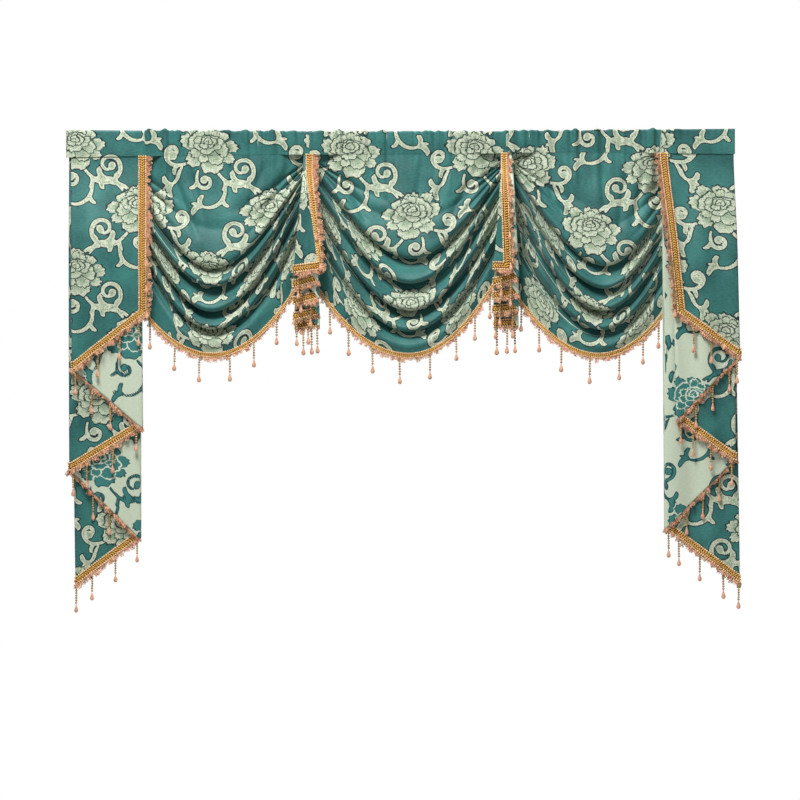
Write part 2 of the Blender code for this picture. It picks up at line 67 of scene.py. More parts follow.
# Each scroll starts this far from the flower's middle and heads this many degrees from the right. It then
# bends by (length, degrees) pairs. Its half width runs from the first to the second value. Hooks are small
# leaves beside it, given by the share of the way along it and the side.
scrolls = (
    {"start": (0.022, -0.062), "heading": -58, "half": (0.0058, 0.0062), "end": "bulb",
     "bends": ((0.050, 20), (0.066, 70), (0.060, 85), (0.050, 100), (0.038, 115), (0.022, 100)),
     "hooks": ((0.16, -1), (0.40, -1))},
    {"start": (0.050, -0.106), "heading": -78, "half": (0.0056, 0.0056), "end": "fork",
     "bends": ((0.036, -30), (0.048, -55), (0.034, -40)), "hooks": ((0.45, 1),)},
    {"start": (0.112, -0.114), "heading": 4, "half": (0.0056, 0.0052), "end": "fork",
     "bends": ((0.034, -30), (0.026, -30)), "hooks": ()},
    {"start": (-0.056, -0.040), "heading": 200, "half": (0.0054, 0.0060), "end": "bulb",
     "bends": ((0.034, -15), (0.042, -70), (0.036, -95), (0.026, -115), (0.015, -90)), "hooks": ((0.22, 1),)},
    {"start": (-0.078, -0.054), "heading": 236, "half": (0.0052, 0.0052), "end": "fork",
     "bends": ((0.030, 20), (0.030, -50)), "hooks": ()},
    {"start": (-0.030, -0.066), "heading": -110, "half": (0.0050, 0.0056), "end": "bulb",
     "bends": ((0.032, 30), (0.036, 90), (0.030, 105), (0.018, 110)), "hooks": ((0.30, -1),)},
    {"start": (0.044, 0.056), "heading": 60, "half": (0.0052, 0.0052), "end": "fork",
     "bends": ((0.032, -15), (0.034, -50)), "hooks": ((0.50, 1),)},
)
# Ends and hooks as chains: degrees off the scroll's way, bend at each step, step lengths, half widths
scrollEnds = {
    "bulb": ((0, 0, (0.004,), (0.0100, 0.0112)),),
    "fork": (
        (30, 26, (0.012, 0.011, 0.010, 0.008), (0.0050, 0.0068, 0.0082, 0.0074, 0.0030)),
        (-36, -30, (0.012, 0.010, 0.009, 0.007), (0.0050, 0.0064, 0.0076, 0.0068, 0.0028)),
        (-2, 10, (0.012, 0.012, 0.009), (0.0054, 0.0060, 0.0044, 0.0010)),
    ),
    "hook": ((34, 24, (0.010, 0.009, 0.008, 0.006), (0.0036, 0.0052, 0.0060, 0.0048, 0.0014)),),
}
# Longest stroke, and a scroll's half width at its ends and what its middle adds, as shares of the given one
scrollShape = {"strokeLength": 0.007, "endShare": 0.62, "swell": 0.42}


# Rows of tapered strokes along a chain: both ends and both half widths.
def strokesOf(points, half):
    points, half = np.array(points), np.array(half)
    return np.column_stack([points[:-1], points[1:], half[:-1], half[1:]])


# The chains of a scroll's end or hook, from this place and heading.
def endStrokes(kind, place, heading, side=1):
    rows = []
    for spread, bend, lengths, halves in scrollEnds[kind]:
        way, points = heading + side * math.radians(spread), [place]
        for length in lengths:
            points.append(points[-1] + length * np.array([math.cos(way), math.sin(way)]))
            way += side * math.radians(bend)
        rows.append(strokesOf(points, halves))
    return rows


# A scroll as strokes, widest in its middle, with its end and its hooks.
def walkScroll(scroll):
    place, heading = np.array(scroll["start"]), math.radians(scroll["heading"])
    points, ways = [place], [heading]
    for length, bend in scroll["bends"]:
        steps = max(3, int(length / scrollShape["strokeLength"]))
        for _ in range(steps):
            heading += math.radians(bend) / steps / 2
            place = place + np.array([math.cos(heading), math.sin(heading)]) * length / steps
            heading += math.radians(bend) / steps / 2
            points.append(place)
            ways.append(heading)
    share = np.linspace(0, 1, len(points))
    fullness = scrollShape["endShare"] + scrollShape["swell"] * np.sin(math.pi * share)
    half = mix(*scroll["half"], share) * fullness
    rows = [strokesOf(points, half), *endStrokes(scroll["end"], place, heading)]
    for at, side in scroll["hooks"]:
        k = int(at * (len(points) - 1))
        rows += endStrokes("hook", points[k], ways[k], side)
    return np.vstack(rows)


# Distance to the scrolls over one repeat, negative inside them.
def scrollField():
    wide, high = repeat["width"], repeat["height"]
    x0, y0 = repeat["flowerAt"]
    x1, y1 = x0 + wide / 2, y0 + high / 2
    strokes = np.vstack([walkScroll(scroll) for scroll in scrolls])
    both = np.vstack([
        strokes + [x0, y0, x0, y0, 0, 0],
        strokes * [-1, 1, -1, 1, 1, 1] + [x1, y1, x1, y1, 0, 0],
    ])
    xs, ys = np.arange(0, wide, repeat["step"]), np.arange(0, high, repeat["step"])
    gx, gy = np.meshgrid(xs, ys, indexing="ij")
    best = np.full(gx.shape, 1.0)
    low, left, top, right = -repeat["reach"], -repeat["reach"], high + repeat["reach"], wide + repeat["reach"]
    for across in (-1, 0, 1):
        for up in (-1, 0, 1):
            for ax, ay, bx, by, near, far in both + ([across * wide, up * high] * 2 + [0, 0]):
                if max(ax, bx) < left or min(ax, bx) > right or max(ay, by) < low or min(ay, by) > top:
                    continue
                dx, dy = bx - ax, by - ay
                along = np.clip(((gx - ax) * dx + (gy - ay) * dy) / (dx * dx + dy * dy + 1e-12), 0, 1)
                gap = np.hypot(gx - ax - along * dx, gy - ay - along * dy) - mix(near, far, along)
                best = np.minimum(best, gap)
    return best


# The field at any place of the cloth, between its own steps.
def scrollDistance(field, u, v):
    rows, columns = field.shape
    x, y = u / repeat["step"], v / repeat["step"]
    x0, y0 = np.floor(x).astype(int), np.floor(y).astype(int)
    fx, fy = x - x0, y - y0
    left = mix(field[x0 % rows, y0 % columns], field[x0 % rows, (y0 + 1) % columns], fy)
    right = mix(field[(x0 + 1) % rows, y0 % columns], field[(x0 + 1) % rows, (y0 + 1) % columns], fy)
    return mix(left, right, fx)


# Materials

# A colour as the shader takes it, from its usual 0 to 255 values.
def tint(red, green, blue):
    shares = [c / 255 for c in (red, green, blue)]
    return (*[c / 12.92 if c < 0.0405 else ((c + 0.055) / 1.055) ** 2.4 for c in shares], 1.0)


# A socket on which nodes' maths can be written as plain expressions.
class Wire:
    def __init__(self, tree, socket=None):
        self.tree, self.socket = tree, socket

    def node(self, kind, settings=None, inputs=None, out=0):
        made = self.tree.nodes.new(kind)
        for name, value in (settings or {}).items():
            setattr(made, name, value)
        for name, value in (inputs or {}).items():
            if isinstance(value, Wire):
                self.tree.links.new(value.socket, made.inputs[name])
            else:
                made.inputs[name].default_value = value
        return Wire(self.tree, made.outputs[out] if len(made.outputs) else None)

    # Another output of the same node.
    def other(self, out):
        return Wire(self.tree, self.socket.node.outputs[out])

    def into(self, socket):
        self.tree.links.new(self.socket, socket)

    def math(self, operation, first, second=0.0):
        return self.node("ShaderNodeMath", {"operation": operation}, {0: first, 1: second})

    def __add__(self, other):
        return self.math("ADD", self, other)

    def __radd__(self, other):
        return self.math("ADD", other, self)

    def __sub__(self, other):
        return self.math("SUBTRACT", self, other)

    def __rsub__(self, other):
        return self.math("SUBTRACT", other, self)

    def __mul__(self, other):
        return self.math("MULTIPLY", self, other)

    def __rmul__(self, other):
        return self.math("MULTIPLY", other, self)

    def __truediv__(self, other):
        return self.math("DIVIDE", self, other)

    def __rtruediv__(self, other):
        return self.math("DIVIDE", other, self)

    def __pow__(self, other):
        return self.math("POWER", self, other)

    def __mod__(self, other):
        return self.math("FLOORED_MODULO", self, other)

    def __neg__(self):
        return self.math("MULTIPLY", self, -1.0)

    def __abs__(self):
        return self.math("ABSOLUTE", self)

    def __lt__(self, other):
        return self.math("LESS_THAN", self, other)

    def sine(self):
        return self.math("SINE", self)

    def most(self, other):
        return self.math("MAXIMUM", self, other)

    # 1 under the limit, 0 over it, with a soft step.
    def below(self, limit, soft):
        return self.node(
            "ShaderNodeMapRange",
            {"interpolation_type": "SMOOTHSTEP"},
            {"Value": self, "From Min": limit - soft, "From Max": limit + soft, "To Min": 1.0, "To Max": 0.0},
        )

    # The first colour where this is 0, the second where it is 1.
    def blend(self, first, second):
        return self.node("ShaderNodeMix", {"data_type": "RGBA"}, {0: self, 6: first, 7: second}, 2)

    def noise(self, place, scale, detail=2.0):
        return self.node("ShaderNodeTexNoise", {}, {"Vector": place, "Scale": scale, "Detail": detail})


def newFinish(name, roughness, sheen=0.0, coat=0.0):
    finish = bpy.data.materials.new(name)
    finish.use_nodes = True
    shader = finish.node_tree.nodes["Principled BSDF"]
    for socket, value in (
        ("Roughness", roughness),
        ("Specular IOR Level", 0.36),
        ("Sheen Weight", sheen),
        ("Sheen Roughness", 0.45),
        ("Coat Weight", coat),
    ):
        shader.inputs[socket].default_value = value
    return finish, shader, Wire(finish.node_tree)


jacquardLook = {
    "ground": (54, 122, 116), "groundDeep": (6, 62, 62), "outline": (4, 38, 38),
    "motif": (106, 132, 104), "motifPale": (202, 208, 186), "petalLine": (28, 56, 42),
    "reversePale": (204, 214, 192), "reverseTeal": (48, 116, 112), "reverseRim": (10, 62, 64),
    "edgeSoft": 0.0006,
    "rim": 0.0030,  # width of the dark line round the scrolls
    "flowerRim": 0.06,  # and round the flowers, as a share of their radius
    "ragged": 0.0022,  # how far the scrolls' edges wander
    "waver": 0.14,  # and the petals', as a share of the radius
    "core": -0.0034,  # the scrolls are darker farther inside than this
    "ribs": 58,  # fine rays from each flower's foot
    "streaks": (90, 420, 1),  # how fine the threads' streaks are, across and along
    "broad": 9.0,  # how fine the ground's soft patches are
    "crinkle": 150.0,  # how fine the motifs' creases are
    "threads": (0.0011, 0.0009),  # how far apart the threads lie, across and along
    "relief": 0.0004,
    # how much each of these darkens a motif, and how much of it all is taken off again; shade and crinkle are
    # painted shade in the petals and the creases
    "darker": {"streaks": 0.35, "core": 0.45, "shade": 0.62, "ribs": 0.24, "crinkle": 0.80, "less": 0.13},
    # how much each of these stands up, and the lines and creases lie deeper
    "raised": {"threads": 0.25, "motif": 0.8, "lines": 0.6, "crinkle": 0.5, "streaks": 0.5},
}

# Rings of petals, from the outside in: size, petals, turn, shift up, depth between petals, flatness. Sizes
# and places in the flower are shares of its radius.
flowerRings = (
    (1.00, 7, 0.5, 0.00, 0.40, 0.94),
    (0.74, 7, 1.9, 0.06, 0.34, 0.88),
    (0.52, 6, 0.2, 0.14, 0.30, 0.74),
    (0.34, 5, 1.1, 0.20, 0.28, 0.66),
    (0.17, 3, 2.0, 0.23, 0.26, 0.66),
)
petalShape = {
    "bend": (0.26, 0.13),  # how unevenly the petals stand round the ring, in waves of two and of three
    "blunt": 0.42,  # under 1 for round petals with narrow gaps
    "ruffle": 0.030, "rufflesEach": 4.2,
    "uneven": (0.09, 0.07),  # how their lengths differ, in waves of two and of three
    "light": (-0.20, 0.17),  # middle and softness of the painted light towards a petal's edge, which leaves painted shade deeper in
    "gap": (0.10, 0.06),  # half width and softness of the gap between two petals
    "edgeLine": (0.015, 0.028, 0.016),  # middle, half width and softness of the line round an inner ring
}


# A place as its distance from the middle of the repeat that it lies in.
def wrapped(value, size):
    return (value + size / 2) % size - size / 2


# How far a place lies outside a ring of ruffled petals, and how near it is to the gap between two of them.
def petalRing(a, b, size, petals, turn, up, tooth, flat):
    shape = petalShape
    high = (b - up) / flat
    reach = (a * a + high * high) ** 0.5
    angle = high.math("ARCTAN2", high, a)
    two, three = shape["bend"]
    bent = angle + two * (2 * angle + 2 * turn).sine() + three * (3 * angle + turn).sine()
    swing = abs((petals / 2 * bent + turn).sine())
    ruffle = shape["ruffle"] * (round(petals * shape["rufflesEach"]) * bent + 3 * turn).sine()
    two, three = shape["uneven"]
    uneven = two * (2 * angle + 5 * turn).sine() + three * (3 * angle + 2 * turn).sine()
    edge = size * (1 - tooth + tooth * swing ** shape["blunt"] + ruffle + uneven)
    return reach - edge, swing * reach / size


# The jacquard: its pattern from the cloth's own places, with the colours changed over on the reverse.
def jacquard(name, reverse):
    look, shape = jacquardLook, petalShape
    soft = look["edgeSoft"]
    finish, shader, start = newFinish(name, 0.5, sheen=0.22)
    place = start.node("ShaderNodeUVMap", {"uv_map": "cloth"})
    u = place.node("ShaderNodeSeparateXYZ", {}, {0: place})
    v = u.other(1)
    ragged = start.noise(place, 75.0, 1.0)
    drift = start.node("ShaderNodeSeparateXYZ", {}, {0: ragged.other(1)})
    wide, high, radius = repeat["width"], repeat["height"], repeat["flowerRadius"]
    x0, y0 = repeat["flowerAt"]
    a1, b1 = wrapped(u - x0, wide), wrapped(v - y0, high)
    a2, b2 = -wrapped(u - x0 - wide / 2, wide), wrapped(v - y0 - high / 2, high)
    second = (a2 * a2 + b2 * b2) < (a1 * a1 + b1 * b1)
    a = (a1 + (a2 - a1) * second) / radius + look["waver"] * (drift - 0.5)
    b = (b1 + (b2 - b1) * second) / radius + look["waver"] * (drift.other(1) - 0.5)
    rings = [petalRing(a, b, *ring) for ring in flowerRings]
    outside = rings[0][0]
    flower = outside.below(0.0, soft / radius)
    shade, lines = 0.0, 0.0
    # each ring of petals is painted lighter at its edge and painted shade deeper in, under the next ring up
    for k, (gap, notch) in enumerate(rings):
        inside = gap.below(0.0, 0.008)
        bright = 0.10 + 0.90 * (1 - gap.below(*shape["light"]))
        shade = inside * (1 - bright) + shade * (1 - inside)
        parted = notch.below(*shape["gap"]) * inside
        lines = (lines * (1 - inside)).most(parted)
        if k:
            middle, half, fade = shape["edgeLine"]
            lines = lines.most(abs(gap - middle).below(half, fade))
    lines = lines * flower
    shade = shade * flower
    scroll = start.node("ShaderNodeAttribute", {"attribute_name": "scroll"}, out=2)
    scroll = scroll + look["ragged"] * (ragged - 0.5)
    halo = outside.below(look["flowerRim"], soft / radius)
    stem = scroll.below(0.0, soft) * (1 - halo)
    rim = (scroll.below(look["rim"], soft) * (1 - halo)).most(halo)
    ribs = ((b.math("ARCTAN2", b + 0.35, a) * look["ribs"]).sine() * 0.5 + 0.5) * flower
    motif = flower.most(stem)
    stretched = start.node("ShaderNodeMapping", {}, {"Vector": place, "Scale": look["streaks"]})
    streaks = start.noise(stretched, 1.0)
    patches = (start.noise(place, look["broad"]) - 0.5) * 1.5 + (streaks - 0.5) * 1.1 + 0.56
    ground = patches.blend(tint(*look["groundDeep"]), tint(*look["ground"]))
    core = scroll.below(look["core"], 0.0016) * stem
    # the creases are sunk in the bump and also painted darker, as painted shade in the creases
    crinkle = abs(start.noise(place, look["crinkle"], 1.0) - 0.5).below(0.022, 0.020) * motif
    dark = look["darker"]
    # the motif's own tone from thread streaks, scroll cores and rays, with the painted petal shade and
    # painted crease shade
    motifToneAndPaintedShade = streaks * dark["streaks"] + core * dark["core"] + shade * dark["shade"]
    motifToneAndPaintedShade = motifToneAndPaintedShade + ribs * dark["ribs"] + crinkle * dark["crinkle"] - dark["less"]
    petals = motifToneAndPaintedShade.blend(tint(*look["motifPale"]), tint(*look["motif"]))
    if reverse:
        # the reverse carries its dark line just inside the motifs
        inner = abs(scroll + 0.0014).below(0.0014, 0.0005) * stem
        inner = inner.most(abs(outside + 0.025).below(0.022, 0.008))
        pale = (streaks * 0.4).blend(tint(*look["reversePale"]), tint(*look["motif"]))
        dyed = inner * 0.9 + streaks * 0.3 - 0.1
        dyed = dyed.blend(tint(*look["reverseTeal"]), tint(*look["reverseRim"]))
        colour = lines.blend(motif.blend(pale, dyed), tint(*look["reversePale"]))
    else:
        colour = motif.blend(rim.blend(ground, tint(*look["outline"])), petals)
        colour = lines.blend(colour, tint(*look["petalLine"]))
    colour.into(shader.inputs["Base Color"])
    (0.50 + motif * 0.12 + streaks * 0.14).into(shader.inputs["Roughness"])
    across, along = look["threads"]
    threads = (u * (2 * math.pi / across)).sine() * (v * (2 * math.pi / along)).sine()
    up = look["raised"]
    height = threads * up["threads"] + motif * up["motif"] + streaks * up["streaks"]
    height = height - lines * up["lines"] - crinkle * up["crinkle"]
    bump = start.node("ShaderNodeBump", {}, {"Strength": 0.35, "Distance": look["relief"], "Height": height})
    bump.into(shader.inputs["Normal"])
    return finish


# A thread or bead finish whose two colours drift into one another over the piece.
def spotted(name, first, second, scale, roughness, sheen=0.0, coat=0.0):
    finish, shader, start = newFinish(name, roughness, sheen, coat)
    place = start.node("ShaderNodeTexCoord", {}, out=3)
    drift = start.noise(place, scale, 3.0)
    fine = start.noise(place, scale * 9)
    (drift * 1.6 - 0.3).blend(tint(*first), tint(*second)).into(shader.inputs["Base Color"])
    (roughness + (fine - 0.5) * 0.2).into(shader.inputs["Roughness"])
    bump = start.node("ShaderNodeBump", {}, {"Strength": 0.4, "Distance": 0.0002, "Height": fine})
    bump.into(shader.inputs["Normal"])
    return finish


faceCloth = jacquard("teal jacquard face", False)
backCloth = jacquard("jacquard reverse", True)
braidGround = spotted("braid ground thread", (84, 42, 14), (120, 66, 22), 260, 0.6, sheen=0.1)
goldThread = spotted("gold braid thread", (196, 142, 52), (236, 194, 100), 180, 0.45, sheen=0.15)
peachThread = spotted("peach braid edge", (250, 220, 174), (228, 176, 118), 260, 0.55, sheen=0.15)
fringeThread = spotted("fringe loop thread", (176, 82, 54), (254, 214, 170), 170, 0.65, sheen=0.2)
smallBead = spotted("dark gold bead", (74, 44, 18), (226, 186, 120), 200, 0.35, coat=0.3)
longBead = spotted("salmon bead", (186, 112, 76), (238, 196, 164), 160, 0.25, coat=0.5)
print("materials made")


# Making a sheet of cloth from a grid of points

def gridNormals(grid):
    down, across = np.gradient(grid, axis=0), np.gradient(grid, axis=1)
    return unit(np.cross(down, across))


def addObject(name, mesh):
    obj = bpy.data.objects.new(name, mesh)
    bpy.context.scene.collection.objects.link(obj)
    mesh.shade_smooth()
    return obj


# The indices round a grid, from its top left down the left side.
def boundary(index):
    return np.concatenate([index[:, 0], index[-1, 1:], index[-2::-1, -1], index[0, -2:0:-1]])


def quads(index):
    return np.stack([index[:-1, :-1], index[1:, :-1], index[1:, 1:], index[:-1, 1:]], -1).reshape(-1, 4)


# Faces of a grid in which only the fine columns use every row, and the others every third.
def mixedFaces(index, fine):
    faces = []
    for k in range(len(fine) - 1):
        left, right = (index[::1 if fine[c] else 3, c] for c in (k, k + 1))
        count = min(len(left), len(right)) - 1
        near, far = (len(left) - 1) // count, (len(right) - 1) // count
        for n in range(count):
            faces.append([*left[n * near:(n + 1) * near + 1], *right[n * far:(n + 1) * far + 1][::-1]])
    return faces


# A cloth or band with both faces and its edges, about the middle surface that the grid gives. A back that
# nobody sees skips every second row and column. With fine, other columns use every third row.
def makeSheet(name, grid, u, v, thickness, finishes, field=None, skip=1, fine=None):
    lift = gridNormals(grid) * thickness / 2
    behind = (grid - lift)[::skip, ::skip]
    points = np.concatenate([(grid + lift).reshape(-1, 3), behind.reshape(-1, 3)])
    places = np.stack([u, v], -1)
    places = np.concatenate([places.reshape(-1, 2), places[::skip, ::skip].reshape(-1, 2)])
    index = np.arange(u.size).reshape(u.shape)
    backIndex = u.size + np.arange(behind[..., 0].size).reshape(behind.shape[:2])
    if fine is None:
        front, back = quads(index).tolist(), quads(backIndex)[:, ::-1].tolist()
        loop, backLoop = boundary(index), boundary(backIndex)
    else:
        front, back = mixedFaces(index, fine), [face[::-1] for face in mixedFaces(backIndex, fine)]
        steps = (1 if fine[0] else 3, 1 if fine[-1] else 3)
        loop, backLoop = (
            np.concatenate([i[:-1:steps[0], 0], i[-1, :-1], i[:0:-steps[1], -1], i[0, :0:-1]])
            for i in (index, backIndex)
        )
    loop, backLoop = np.append(loop, loop[0]), np.append(backLoop, backLoop[0])
    edge = [
        [*loop[k * skip:(k + 1) * skip + 1][::-1], *backLoop[k:k + 2]] for k in range(len(backLoop) - 1)
    ]
    faces = [*front, *edge, *back]
    used, corners = np.unique([i for face in faces for i in face], return_inverse=True)
    ends = np.cumsum([len(face) for face in faces])
    points, places = points[used], places[used]
    faces = [corners[end - len(face):end].tolist() for face, end in zip(faces, ends)]
    mesh = bpy.data.meshes.new(name)
    mesh.from_pydata(points.tolist(), [], faces)
    layer = mesh.uv_layers.new(name="cloth")
    layer.data.foreach_set("uv", places[corners].astype(np.float32).ravel())
    if field is not None:
        found = scrollDistance(field, places[:, 0], places[:, 1]).astype(np.float32)
        mesh.attributes.new("scroll", "FLOAT", "POINT").data.foreach_set("value", found)
    for finish in finishes:
        mesh.materials.append(finish)
    if len(finishes) > 1:
        slots = np.zeros(len(faces), np.int32)
        slots[len(front) + len(edge):] = 1
        mesh.polygons.foreach_set("material_index", slots)
    return addObject(name, mesh)


field = scrollField()
print("repeat drawn")


# Hangs a piece on the root and hides the solid that it stands for.
def dress(piece, node):
    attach(piece, "root")
    if node:
        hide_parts(node)
    return piece


# The heading

heading = {
    "half": 1.000,
    "seamLap": 0.010,
    "topFrill": 0.5,  # how much a gather lifts the top edge, as a share of its own depth
    "smallFrill": 0.45,  # the same for the small gathers
    "reach": 0.24,  # how far down the main gathers run out
    "smallReach": (0.069, 0.13),  # where the small ones start to run out, and over how much
    "backAtSeam": 0.0022,
    "rows": 13,
    "columnShare": 0.66,  # its columns lie closer together than other cloths', by this share
    "ruffles": 170,
    "ruffleSeed": 7,
    "ruffleFrom": -0.76,
    "ruffleTo": 0.76,
    "ruffleHalf": (0.0034, 0.0070),
    "ruffleHigh": (0.0008, 0.0040),
    "flat": (2.10, 0.074),
}
# x, depth of the seam, height of the top edge
seamTable = np.array([
    (-1.0, 0.079, 0.004), (-0.5, 0.071, 0.000), (0.1, 0.069, -0.002), (0.5, 0.063, 0.002),
    (1.0, 0.069, 0.008),
])
# x, height, half width of each main gather
gatherTable = (
    (-0.750, 0.005, 0.009), (-0.704, 0.006, 0.008), (-0.515, 0.005, 0.010), (-0.462, 0.006, 0.008),
    (-0.386, 0.007, 0.009), (-0.320, 0.005, 0.008), (-0.108, 0.005, 0.010), (-0.056, 0.007, 0.008),
    (0.052, 0.005, 0.009), (0.142, 0.006, 0.009), (0.368, 0.006, 0.010), (0.440, 0.007, 0.009),
    (0.522, 0.005, 0.008), (0.590, 0.006, 0.010), (0.752, 0.006, 0.008), (0.826, 0.003, 0.012),
)
# The heading's pattern runs on from each cloth below it: from x, to x, what x and z are moved by
patternTable = np.array([
    (-1.01, -0.766, 1.071, 0.147), (-0.762, -0.273, 1.045, 0.155), (-0.269, 0.312, 0.993, 0.170),
    (0.316, 0.776, 1.019, 0.030), (0.780, 1.03, 1.036, -0.040),
])


def seamDepth(x):
    return np.interp(x, seamTable[:, 0], seamTable[:, 1])


def gatherLift(x):
    return sum(high * np.exp(-(((x - at) / half) ** 2)) for at, high, half in gatherTable)


# The small gathers between the main ones
def smallGathers(x):
    rng = np.random.default_rng(heading["ruffleSeed"])
    small = np.zeros_like(x)
    for _ in range(heading["ruffles"]):
        at = rng.uniform(heading["ruffleFrom"], heading["ruffleTo"])
        half = rng.uniform(*heading["ruffleHalf"])
        small = small + rng.uniform(*heading["ruffleHigh"]) * np.exp(-(((x - at) / half) ** 2))
    return small


def makeHeading():
    half = heading["half"]
    x = np.linspace(-half, half, 2 * int(half / cloth["step"] / heading["columnShare"]) + 1)
    share = np.append(np.linspace(0, 0.97, heading["rows"]), (0.995, 1))[:, None]
    lift = gatherLift(x)
    small = smallGathers(x)
    frill = heading["topFrill"] * lift + heading["smallFrill"] * small
    top = np.interp(x, seamTable[:, 0], seamTable[:, 2]) + frill - 0.001
    z = mix(top, -seamDepth(x), share)
    back = heading["backAtSeam"] * smoothStep(0.4, 1, share) * smoothStep(0.80, 0.74, abs(x))
    main = lift * (1 + np.minimum(0, z) / heading["reach"])
    # a row of fine stitched puckers near the top edge
    puckers = 0.0006 * np.sin(x * 310) * np.exp(-((share - 0.12) / 0.10) ** 2)
    fine = small * (1.30 - 0.75 * share) + puckers
    grid = np.stack(np.broadcast_arrays(x, back - main - fine, z), -1)
    ends = patternTable[:, :2].ravel()
    u = np.broadcast_to(x + np.interp(x, ends, np.repeat(patternTable[:, 2], 2)), z.shape)
    v = z + np.interp(x, ends, np.repeat(patternTable[:, 3], 2))
    piece = makeSheet("headingCloth", grid, u, v, cloth["thickness"], (faceCloth, backCloth), field, 2)
    dress(piece, "heading")


# The swags

swagCut = {
    "top": 0.0026,  # how far back the cloth lies under the heading
    "sideTop": 0.0225, "sideLow": 0.0095,  # and at its sides, high up and low down
    "sideFrom": 0.72, "seamSideBy": 0.92, "sideBy": 0.94,  # shares of the half width where it turns back
    "lowFrom": 0.10, "lowBy": 0.34,  # depths over which the sides come forward to the low value
    "sideLift": 0.004,
    "bulge": 1.2,  # how soon a fold falls back towards its sides
    "sideLap": 0.03,  # how far the cloth runs on behind its neighbours, as a share of its half width
    "lip": 0.009,  # how far the cloth runs on below a ridge before its tuck
    "columns": 150,
    "rowStep": 0.0042,
    "braidZone": 0.018,  # height of the flat strip above the hem
    "tuckDeeper": 1.75, "tuckFade": 0.78,
    "pleatWander": 0.035,
    "pleatsFrom": 0.20, "pleatsBy": 0.85,  # shares of the half width over which the pleats grow
    "freeFrom": 0.074, "freeBy": 0.12,  # depths over which the cloth comes clear of the heading
    "sway": 0.0016,
}
# Pleats along each fold: place between the tuck over it and its ridge, depth, half width as a share of the
# fold, share of the depth that is left in the middle
pleatTable = ((0.50, 0.0150, 0.12, 0.42), (0.24, 0.0110, 0.10, 0.10), (0.76, 0.0100, 0.09, 0.06))
# Each fold's ridge: its depth at the left side, x and depth of its lowest point, depth at the right side, how
# far it stands forward, how deep the tuck below it goes, and how round it hangs
foldColumns = ("left", "dipX", "dip", "right", "forward", "tuck", "roundness")
swags = (
    {
        "name": "left", "leftX": -0.7655, "rightX": -0.2900, "patternAt": (0.111, 0.097),
        "folds": (
            (0.200, -0.562, 0.403, 0.123, 0.050, 0.017, 0.60),
            (0.254, -0.562, 0.457, 0.141, 0.058, 0.024, 0.75),
            (0.303, -0.562, 0.532, 0.182, 0.064, 0.026, 0.90),
            (0.359, -0.560, 0.584, 0.234, 0.064, 0.022, 1.20),
            (0.424, -0.560, 0.636, 0.312, 0.062, 0.008, 1.80),
        ),
        "hem": (0.551, -0.558, 0.678, 0.438, 0.056, 0.0, 3.00),
        "drops": (-0.746, -0.671, -0.598, -0.508, -0.438, -0.3705),
        "flat": (0.80, 0.86), "area": 0.42,
    },
    {
        "name": "centre", "leftX": -0.2497, "rightX": 0.2945, "patternAt": (0.281, 0.112),
        "folds": (
            (0.111, 0.032, 0.374, 0.129, 0.050, 0.020, 0.60),
            (0.158, 0.030, 0.448, 0.161, 0.060, 0.024, 0.70),
            (0.214, 0.028, 0.529, 0.219, 0.066, 0.026, 0.90),
            (0.280, 0.026, 0.591, 0.288, 0.066, 0.020, 1.10),
            (0.362, 0.025, 0.642, 0.356, 0.062, 0.008, 1.70),
        ),
        "hem": (0.474, 0.024, 0.679, 0.435, 0.056, 0.0, 3.00),
        "drops": (-0.2096, -0.154, -0.0837, -0.0027, 0.0876, 0.1645, 0.221, 0.266),
        "flat": (0.90, 0.88), "area": 0.47,
    },
    {
        "name": "right", "leftX": 0.3379, "rightX": 0.7800, "patternAt": (0.143, 0.352),
        "folds": (
            (0.108, 0.612, 0.395, 0.231, 0.050, 0.020, 0.60),
            (0.137, 0.610, 0.463, 0.284, 0.060, 0.024, 0.75),
            (0.187, 0.606, 0.529, 0.344, 0.066, 0.026, 0.85),
            (0.260, 0.600, 0.586, 0.408, 0.066, 0.022, 1.10),
            (0.359, 0.594, 0.644, 0.478, 0.062, 0.008, 1.60),
        ),
        "hem": (0.485, 0.590, 0.679, 0.559, 0.056, 0.0, 3.00),
        "drops": (0.3633, 0.4141, 0.4799, 0.5636, 0.6503, 0.7221, 0.770),
        "flat": (0.80, 0.86), "area": 0.42,
    },
)
# Dents that pull across the smooth top of each swag: from x, z to x, z, depth, half width
dentTable = (
    (-0.700, -0.085, -0.600, -0.330, 0.0093, 0.0110),
    (-0.640, -0.085, -0.585, -0.270, 0.0070, 0.0092),
    (-0.330, -0.090, -0.430, -0.300, 0.0104, 0.0120),
    (-0.400, -0.085, -0.460, -0.240, 0.0070, 0.0101),
    (-0.505, -0.080, -0.515, -0.230, 0.0058, 0.0110),
    (-0.190, -0.085, -0.100, -0.280, 0.0093, 0.0110),
    (-0.100, -0.080, -0.050, -0.220, 0.0065, 0.0101),
    (0.060, -0.080, 0.050, -0.220, 0.0061, 0.0101),
    (0.150, -0.085, 0.090, -0.260, 0.0078, 0.0101),
    (0.240, -0.090, 0.130, -0.300, 0.0097, 0.0120),
    (0.400, -0.085, 0.500, -0.280, 0.0093, 0.0110),
    (0.470, -0.080, 0.530, -0.220, 0.0065, 0.0101),
    (0.600, -0.080, 0.610, -0.240, 0.0061, 0.0110),
    (0.680, -0.085, 0.650, -0.300, 0.0084, 0.0110),
    (0.735, -0.090, 0.690, -0.300, 0.0093, 0.0110),
)


